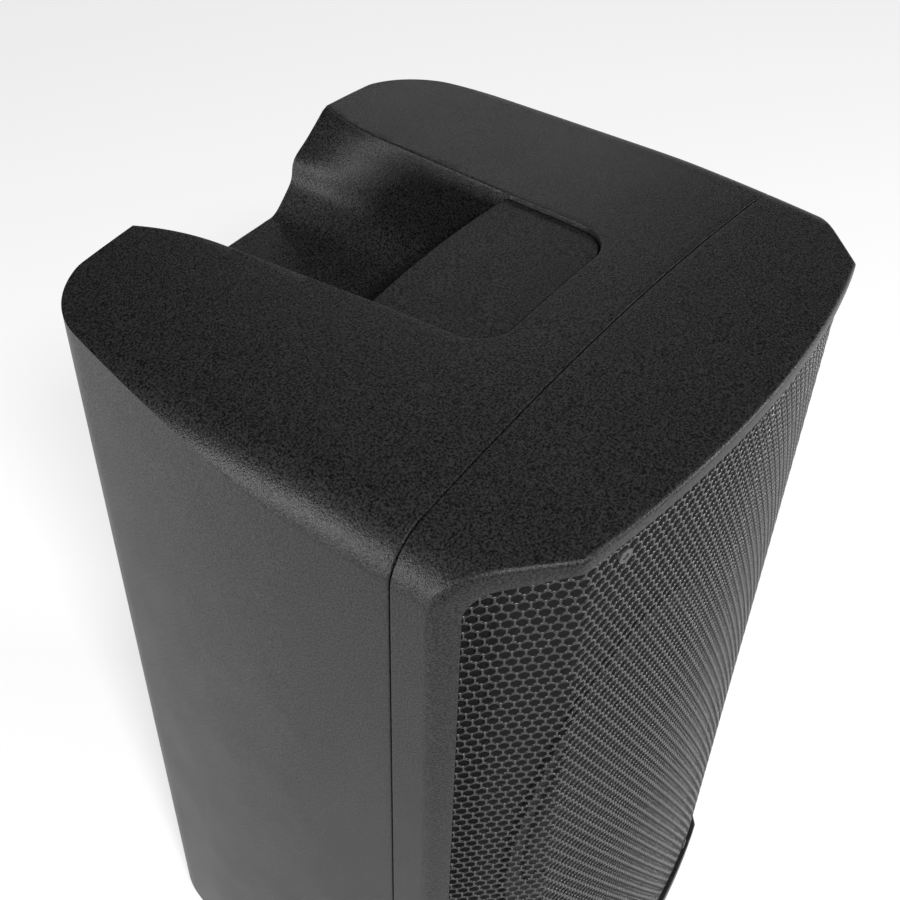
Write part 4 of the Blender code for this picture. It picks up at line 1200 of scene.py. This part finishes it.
def screws():
    """Four screws with a flat, round head and a round recess."""
    for i in range(4):
        node = "grille_screw_%d" % (i + 1)
        low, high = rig.box(node)
        s = -1 if low.x < 0 else 1
        x, z = s * 113.0, 635.0 if high.z > 0.3 else 45.0
        head = round_piece("screw", 4.4, (0.0, 0.0), -1.6, 0.5, 32)
        dish(head, (0, -1, 0), 2.3, (0, 1.2, 0))
        soften(head, 0.5, 3, 40)
        shank = round_piece("shank", 1.7, (0.0, 0.0), -1.0, 10.0, 24)
        soften(shank, 0.3, 2, 40)
        piece = join(node + "_head", [head, shank])
        tilt = math.atan(2 * FRONT_BOW * x / BEND_X ** 2)
        piece.data.transform(Matrix.Translation((x * MM, (front_y(x) + GRILLE_BACK + 0.6) * MM, z * MM))
                             @ Matrix.Rotation(tilt, 4, "Z"))
        fit(piece, "steel", "cabinet", node, slot="frame_steel")


# ---------------------------------------------------------------- stowed column

def column_pieces():
    """The stowed column and the spacer tube, with eased edges, and the column's own grille."""
    for node, name in (("array_shell", "column_casing"), ("array_cap", "column_cap"), ("array_foot", "column_foot")):
        fit(eased_copy(node, name, 1.0), "column", "column", node, slot="casing")
    fit(eased_copy("spacer_tube", "spacer_casing", 1.2), "column", "spacer", "spacer_tube", slot="casing")
    low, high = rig.box("array_grille")
    z0, z1 = low.z / MM, high.z / MM
    pitch, hole = 5.4, 4.4
    curve = np.linspace(-ARRAY_HALF, ARRAY_HALF, 200)
    y_front = low.y / MM + 8.0 * (1 - (curve / ARRAY_HALF) ** 2) + 1.4
    s_path = np.concatenate(([0.0], np.cumsum(np.hypot(np.diff(curve), np.diff(y_front)))))
    s_path -= 0.5 * s_path[-1]

    def place(s, z, d):
        x = ARRAY_X + np.interp(s, s_path, curve)
        return np.stack((x, np.interp(s, s_path, y_front) - d, z), 1)

    reach = s_path[-1] - 0.4

    def trim(pts):
        return np.stack((np.clip(pts[..., 0], -reach, reach), np.clip(pts[..., 1], z0 + 0.3, z1 - 0.3)), -1)

    row_pitch = pitch * math.sqrt(3) / 2
    cells = []
    rows = int((z1 - z0) / row_pitch)
    for row in range(rows + 1):
        for k in range(-9, 10):
            s, z = (k + 0.5 * (row % 2)) * pitch, z0 + 0.4 * pitch + row * row_pitch
            if abs(s) < reach + 0.2 * pitch and z < z1 + 0.2 * pitch:
                cells.append((s, z))
    sheet = cell_mesh("column_grille", cells, pitch, hole, 1.2, place, trim)
    fit(sheet, "grille", "column", "array_grille", slot="grille")


# ---------------------------------------------------------------- rear panels

def ribbed_knob(node, name, x, z, r, tall, teeth):
    """A knob turned from a cylinder, with a fluted skirt and a pointer bar."""
    f = PANEL_FACE
    body = round_piece(name, r - 0.7, (x, z), f + 0.6, f + tall, teeth * 4)
    bpy.ops.object.mode_set(mode="EDIT")
    wide = 2 * math.pi / (teeth * 4)

    def rib(face):
        c = face.calc_center_median()
        if abs(face.normal.y) > 0.5:
            return False
        turn = math.atan2(c.z - z * MM, c.x - x * MM)
        return int(round(turn / wide - 0.5)) % 4 in (0, 1)
    pick(body, rib)
    bpy.ops.mesh.extrude_region_shrink_fatten(TRANSFORM_OT_shrink_fatten={"value": 0.6 * MM})
    cap_faces(body, (0, 1, 0), f + tall)
    bpy.ops.mesh.inset(thickness=1.5 * MM)
    bpy.ops.mesh.extrude_region_move(TRANSFORM_OT_translate={"value": (0, -0.5 * MM, 0)})
    bpy.ops.object.mode_set(mode="OBJECT")
    soften(body, 0.25, 2, 50)
    stem = round_piece("stem", 2.9, (x, z), f - 12, f + 1.0, 24)
    soften(stem, 0.3, 2)
    knob = join(name, [body, stem])
    fit(knob, "knob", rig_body(node), node, slot="knob")
    bar = box_piece(name + "_pointer", x - 0.55, x + 0.55, f + tall - 0.6, f + tall - 0.02, z + 0.25 * r,
                    z + r - 2.2)
    soften(bar, 0.2, 2)
    fit(bar, "print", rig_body(node))


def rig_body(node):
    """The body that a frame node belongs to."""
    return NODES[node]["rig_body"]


def knobs():
    """Select knob, four gain knobs and two push buttons."""
    ribbed_knob("select_knob", "select_dial", CONTROL_X, 404.0, 10.5, 11.0, 16)
    for k, (dx, z) in enumerate(((-12.0, 338.0), (12.0, 338.0), (-12.0, 306.0), (12.0, 306.0))):
        ribbed_knob("gain_knob_%d" % (k + 1), "gain_dial_%d" % (k + 1), CONTROL_X + dx, z, 7.5, 10.5, 12)
    for node, dx in (("mode_button", -12.0), ("mute_button", 12.0)):
        f = PANEL_FACE
        key = round_piece(node + "_cap", 4.1, (CONTROL_X + dx, 370.0), f - 7, f + 3.0, 32)
        dish(key, (0, 1, 0), 1.0, (0, -0.35, 0))
        soften(key, 0.35, 3, 50)
        fit(key, "knob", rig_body(node), node, slot="knob")


def socket_piece(node, name, x, z, r, bore, deep):
    """A round panel socket bored from its flange, with a contact ring inside."""
    f = PANEL_FACE
    flange = round_piece(name, r + 2.6, (x, z), f + 0.3, f + 2.2, 48)
    dish(flange, (0, 1, 0), r + 2.6 - bore, (0, -1.6, 0))
    soften(flange, 0.4, 3, 50)
    barrel = round_piece("barrel", r, (x, z), f - deep - 4, f + 0.4, 40)
    tool = round_piece("bore", bore, (x, z), f - deep, f + 5, 40)
    carve(barrel, tool)
    tool = round_piece("bore", bore - 0.01, (x, z), f - deep, f + 5, 40)
    carve(flange, tool)
    piece = join(name, [flange, rounds(barrel)])
    fit(piece, "socket", "cabinet", node, slot="knob")
    ring = round_piece(name + "_contact", bore * 0.97, (x, z), f - deep + 1.0, f - deep + 2.2, 32)
    dish(ring, (0, 1, 0), bore * 0.4, (0, -0.6, 0))
    soften(ring, 0.15, 2, 50)
    fit(ring, "contact", "cabinet")


def sockets():
    """Audio sockets on the control panel."""
    socket_piece("combo_jack_1", "input_socket_1", CONTROL_X, 262.0, 11.7, 8.6, 20.0)
    socket_piece("combo_jack_2", "input_socket_2", CONTROL_X, 224.0, 11.7, 8.6, 20.0)
    socket_piece("line_jack_1", "line_socket_1", CONTROL_X - 12, 190.0, 7.7, 3.3, 20.0)
    socket_piece("line_jack_2", "line_socket_2", CONTROL_X + 12, 190.0, 7.7, 3.3, 20.0)
    socket_piece("mix_out", "output_socket", CONTROL_X, 152.0, 10.7, 8.0, 16.0)


def panels():
    """Both metal panels with eased edges, the window, the inlet, the rocker, the heat sink and the scale marks."""
    for node, look, slot, width in (("control_panel", "panel", "panel", 0.35),
                                    ("power_panel", "panel", "panel", 0.35),
                                    ("mains_inlet", "socket", "knob", 0.3),
                                    ("power_rocker", "knob", "knob", 0.5),
                                    ("display_window", "screen", "glass", 0.3),
                                    ("heat_sink", "alloy", "alloy", 0.3),
                                    ("socket_cup", "board", "board", 0.4)):
        fit(eased_copy(node, node + "_finished", width, 2, 40), look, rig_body(node), node, slot=slot)
    marks, f = [], PANEL_FACE
    for dx, z, r, count in ((0, 404.0, 13.2, 0), (-12.0, 338.0, 9.6, 11), (12.0, 338.0, 9.6, 11),
                            (-12.0, 306.0, 9.6, 11), (12.0, 306.0, 9.6, 11)):
        for k in range(count):
            bar = box_piece("tick", -0.22, 0.22, f + 0.02, f + 0.1, r, r + (1.5 if k % 5 == 0 else 0.9))
            turn = Matrix.Rotation(math.radians(-150 + 300 * k / (count - 1)), 4, "Y")
            bar.data.transform(Matrix.Translation(((CONTROL_X + dx) * MM, 0, z * MM)) @ turn)
            marks.append(bar)
    for z in (422.0, 385.0, 354.0, 286.0, 244.0, 205.0, 172.0):
        marks.append(box_piece("line", CONTROL_X - 21, CONTROL_X + 21, f + 0.02, f + 0.1, z - 0.2, z + 0.2))
    fit(join("scale_marks", marks), "print", "cabinet")


# ---------------------------------------------------------------- feet, inside

def feet():
    """Four turned rubber feet with a recess sunk in the underside."""
    for k, (x, y) in enumerate(((-150, -118), (150, -118), (-128, 132), (128, 132))):
        foot = round_piece("rubber_foot_%d" % (k + 1), 16.0, (x, y), 0.0, FOOT_H - 0.3, 48, "Z")
        dish(foot, (0, 0, -1), 9.0, (0, 0, 5.0))
        soften(foot, 1.6, 4, 50)
        fit(foot, "rubber", "cabinet", "foot_%d" % (k + 1), slot="rubber")


def inside():
    """Give every inner node its own finish."""
    looks = {"baffle_board": "board", "port_tube_1": "board", "port_tube_2": "board", "woofer_frame": "basket",
             "woofer_magnet": "magnet", "woofer_cone": "cone", "dust_cap": "cone", "woofer_surround": "rubber",
             "woofer_spider": "cone", "voice_coil": "copper", "socket_contacts": "copper", "supply_board": "circuit",
             "amp_board": "circuit", "stow_pad_1": "rubber", "stow_pad_2": "rubber"}
    for k in range(6):
        looks["array_driver_%d" % (k + 1)] = "cone"
    for node, look in looks.items():
        NODES[node].data.materials.clear()
        NODES[node].data.materials.append(finish(look))


# ---------------------------------------------------------------- stage

def softbox(name, at, aim, width, height, watts, tone=(1.0, 1.0, 1.0)):
    """A rectangular light that faces a point."""
    deselect()
    bpy.ops.object.light_add(type="AREA", location=at)
    lamp = bpy.context.object
    lamp.name = name
    lamp.data.shape, lamp.data.size, lamp.data.size_y = "RECTANGLE", width, height
    lamp.data.energy, lamp.data.color = watts, tone
    lamp.rotation_euler = (Vector(aim) - Vector(at)).to_track_quat("-Z", "Y").to_euler()
    return lamp


def stage():
    """Pale floor, soft lights and the camera."""
    deselect()
    bpy.ops.mesh.primitive_plane_add(size=80.0, location=(0, 0, 0))
    floor = bpy.context.object
    floor.name = "floor"
    made = Finish("floor", colours().floor, 0.9)
    made.set("Specular IOR Level", 0.0)
    made.set("Emission Color", (1.0, 1.0, 1.0, 1.0))
    made.set("Emission Strength", 0.62)
    floor.data.materials.append(made.material)
    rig.stage(floor)
    softbox("overhead", (-1.12, -1.5, 2.45), (0.0, -0.1, 0.6), 0.42, 0.36, 96)
    softbox("left_rear", (-2.3, 1.05, 0.72), (-0.15, -0.05, 0.62), 0.8, 0.18, 62)
    softbox("front_right", (1.45, -2.1, 0.95), (0.0, -0.15, 0.6), 0.8, 0.4, 62)
    softbox("right_rear", (2.4, 1.75, 1.85), (0.1, 0.0, 0.6), 1.6, 0.6, 10)
    world = bpy.data.worlds.new("studio")
    world.use_nodes = True
    world.node_tree.nodes["Background"].inputs["Color"].default_value = (1, 1, 1, 1)
    world.node_tree.nodes["Background"].inputs["Strength"].default_value = 0.06
    bpy.context.scene.world = world
    bpy.context.scene.view_settings.view_transform = "Standard"
    right = Vector((0.599637, -0.799947, 0.022806))
    up = Vector((0.550860, 0.433258, 0.713331))
    back = right.cross(up)
    deselect()
    bpy.ops.object.camera_add(location=(-0.51236, -0.35317, 1.12429))
    camera = bpy.context.object
    camera.name = "camera"
    camera.data.sensor_width, camera.data.lens = 36.0, 54.1694
    camera.data.clip_start, camera.data.clip_end = 0.01, 50.0
    turn = Matrix((right, up, back)).transposed().to_4x4()
    camera.matrix_world = Matrix.Translation(camera.location) @ turn
    bpy.context.scene.camera = camera


# ---------------------------------------------------------------- operators and panel

class MakeFrontCasing(bpy.types.Operator):
    """Build the casing in front of the seam"""
    bl_idname = "speaker.front_casing"
    bl_label = "Front casing"

    def execute(self, context):
        front_casing()
        return {"FINISHED"}


class MakeRearCasing(bpy.types.Operator):
    """Build the casing behind the seam"""
    bl_idname = "speaker.rear_casing"
    bl_label = "Rear casing"

    def execute(self, context):
        rear_casing()
        return {"FINISHED"}


class MakeGrip(bpy.types.Operator):
    """Build the grip in front of the hand pocket"""
    bl_idname = "speaker.grip"
    bl_label = "Grip"

    def execute(self, context):
        grip_insert()
        return {"FINISHED"}


class MakeGrille(bpy.types.Operator):
    """Build the perforated grille and its screws"""
    bl_idname = "speaker.grille"
    bl_label = "Grille and screws"

    def execute(self, context):
        grille()
        screws()
        return {"FINISHED"}


class MakeColumn(bpy.types.Operator):
    """Build the stowed column and the spacer tube"""
    bl_idname = "speaker.column"
    bl_label = "Stowed column"

    def execute(self, context):
        column_pieces()
        return {"FINISHED"}


class MakePanels(bpy.types.Operator):
    """Build the rear panels with their knobs, sockets and marks"""
    bl_idname = "speaker.panels"
    bl_label = "Rear panels"

    def execute(self, context):
        panels()
        knobs()
        sockets()
        return {"FINISHED"}


class MakeFeet(bpy.types.Operator):
    """Build the rubber feet"""
    bl_idname = "speaker.feet"
    bl_label = "Feet"

    def execute(self, context):
        feet()
        return {"FINISHED"}


class FinishInside(bpy.types.Operator):
    """Give the driver, boards and other inner parts their finishes"""
    bl_idname = "speaker.inside"
    bl_label = "Inner parts"

    def execute(self, context):
        inside()
        return {"FINISHED"}


class MakeStage(bpy.types.Operator):
    """Build the floor, the lights and the camera"""
    bl_idname = "speaker.stage"
    bl_label = "Stage"

    def execute(self, context):
        stage()
        return {"FINISHED"}


class SpeakerPanel(bpy.types.Panel):
    """Sidebar panel with the settings and one button for each group of pieces"""
    bl_idname = "VIEW3D_PT_column_speaker"
    bl_label = "Column Loudspeaker"
    bl_space_type = "VIEW_3D"
    bl_region_type = "UI"
    bl_category = "Loudspeaker"

    def draw(self, context):
        settings = context.scene.column_speaker
        for group in (settings.sizes, settings.colours):
            box = self.layout.box()
            for key in group.__annotations__:
                box.prop(group, key)
        for operator in OPERATORS:
            self.layout.operator(operator.bl_idname)


OPERATORS = (MakeStage, MakeFrontCasing, MakeRearCasing, MakeGrip, MakeGrille, MakeColumn, MakePanels, MakeFeet,
             FinishInside)
CLASSES = (SpeakerSizes, SpeakerColours, SpeakerSettings) + OPERATORS + (SpeakerPanel,)


def register():
    for item in CLASSES:
        bpy.utils.register_class(item)
    bpy.types.Scene.column_speaker = bpy.props.PointerProperty(type=SpeakerSettings)


def unregister():
    del bpy.types.Scene.column_speaker
    for item in reversed(CLASSES):
        bpy.utils.unregister_class(item)


def main():
    """Build everything and note both boxes."""
    register()
    bpy.ops.speaker.stage()
    bpy.ops.speaker.front_casing()
    bpy.ops.speaker.rear_casing()
    bpy.ops.speaker.grip()
    bpy.ops.speaker.grille()
    bpy.ops.speaker.column()
    bpy.ops.speaker.panels()
    bpy.ops.speaker.feet()
    bpy.ops.speaker.inside()
    deselect()
    boxes = {"cad": [list(c) for c in CAD_BOX], "visual": [list(c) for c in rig.bounds()]}
    with open("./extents.json", "w") as out:
        json.dump(boxes, out)


if __name__ == "__main__":
    main()
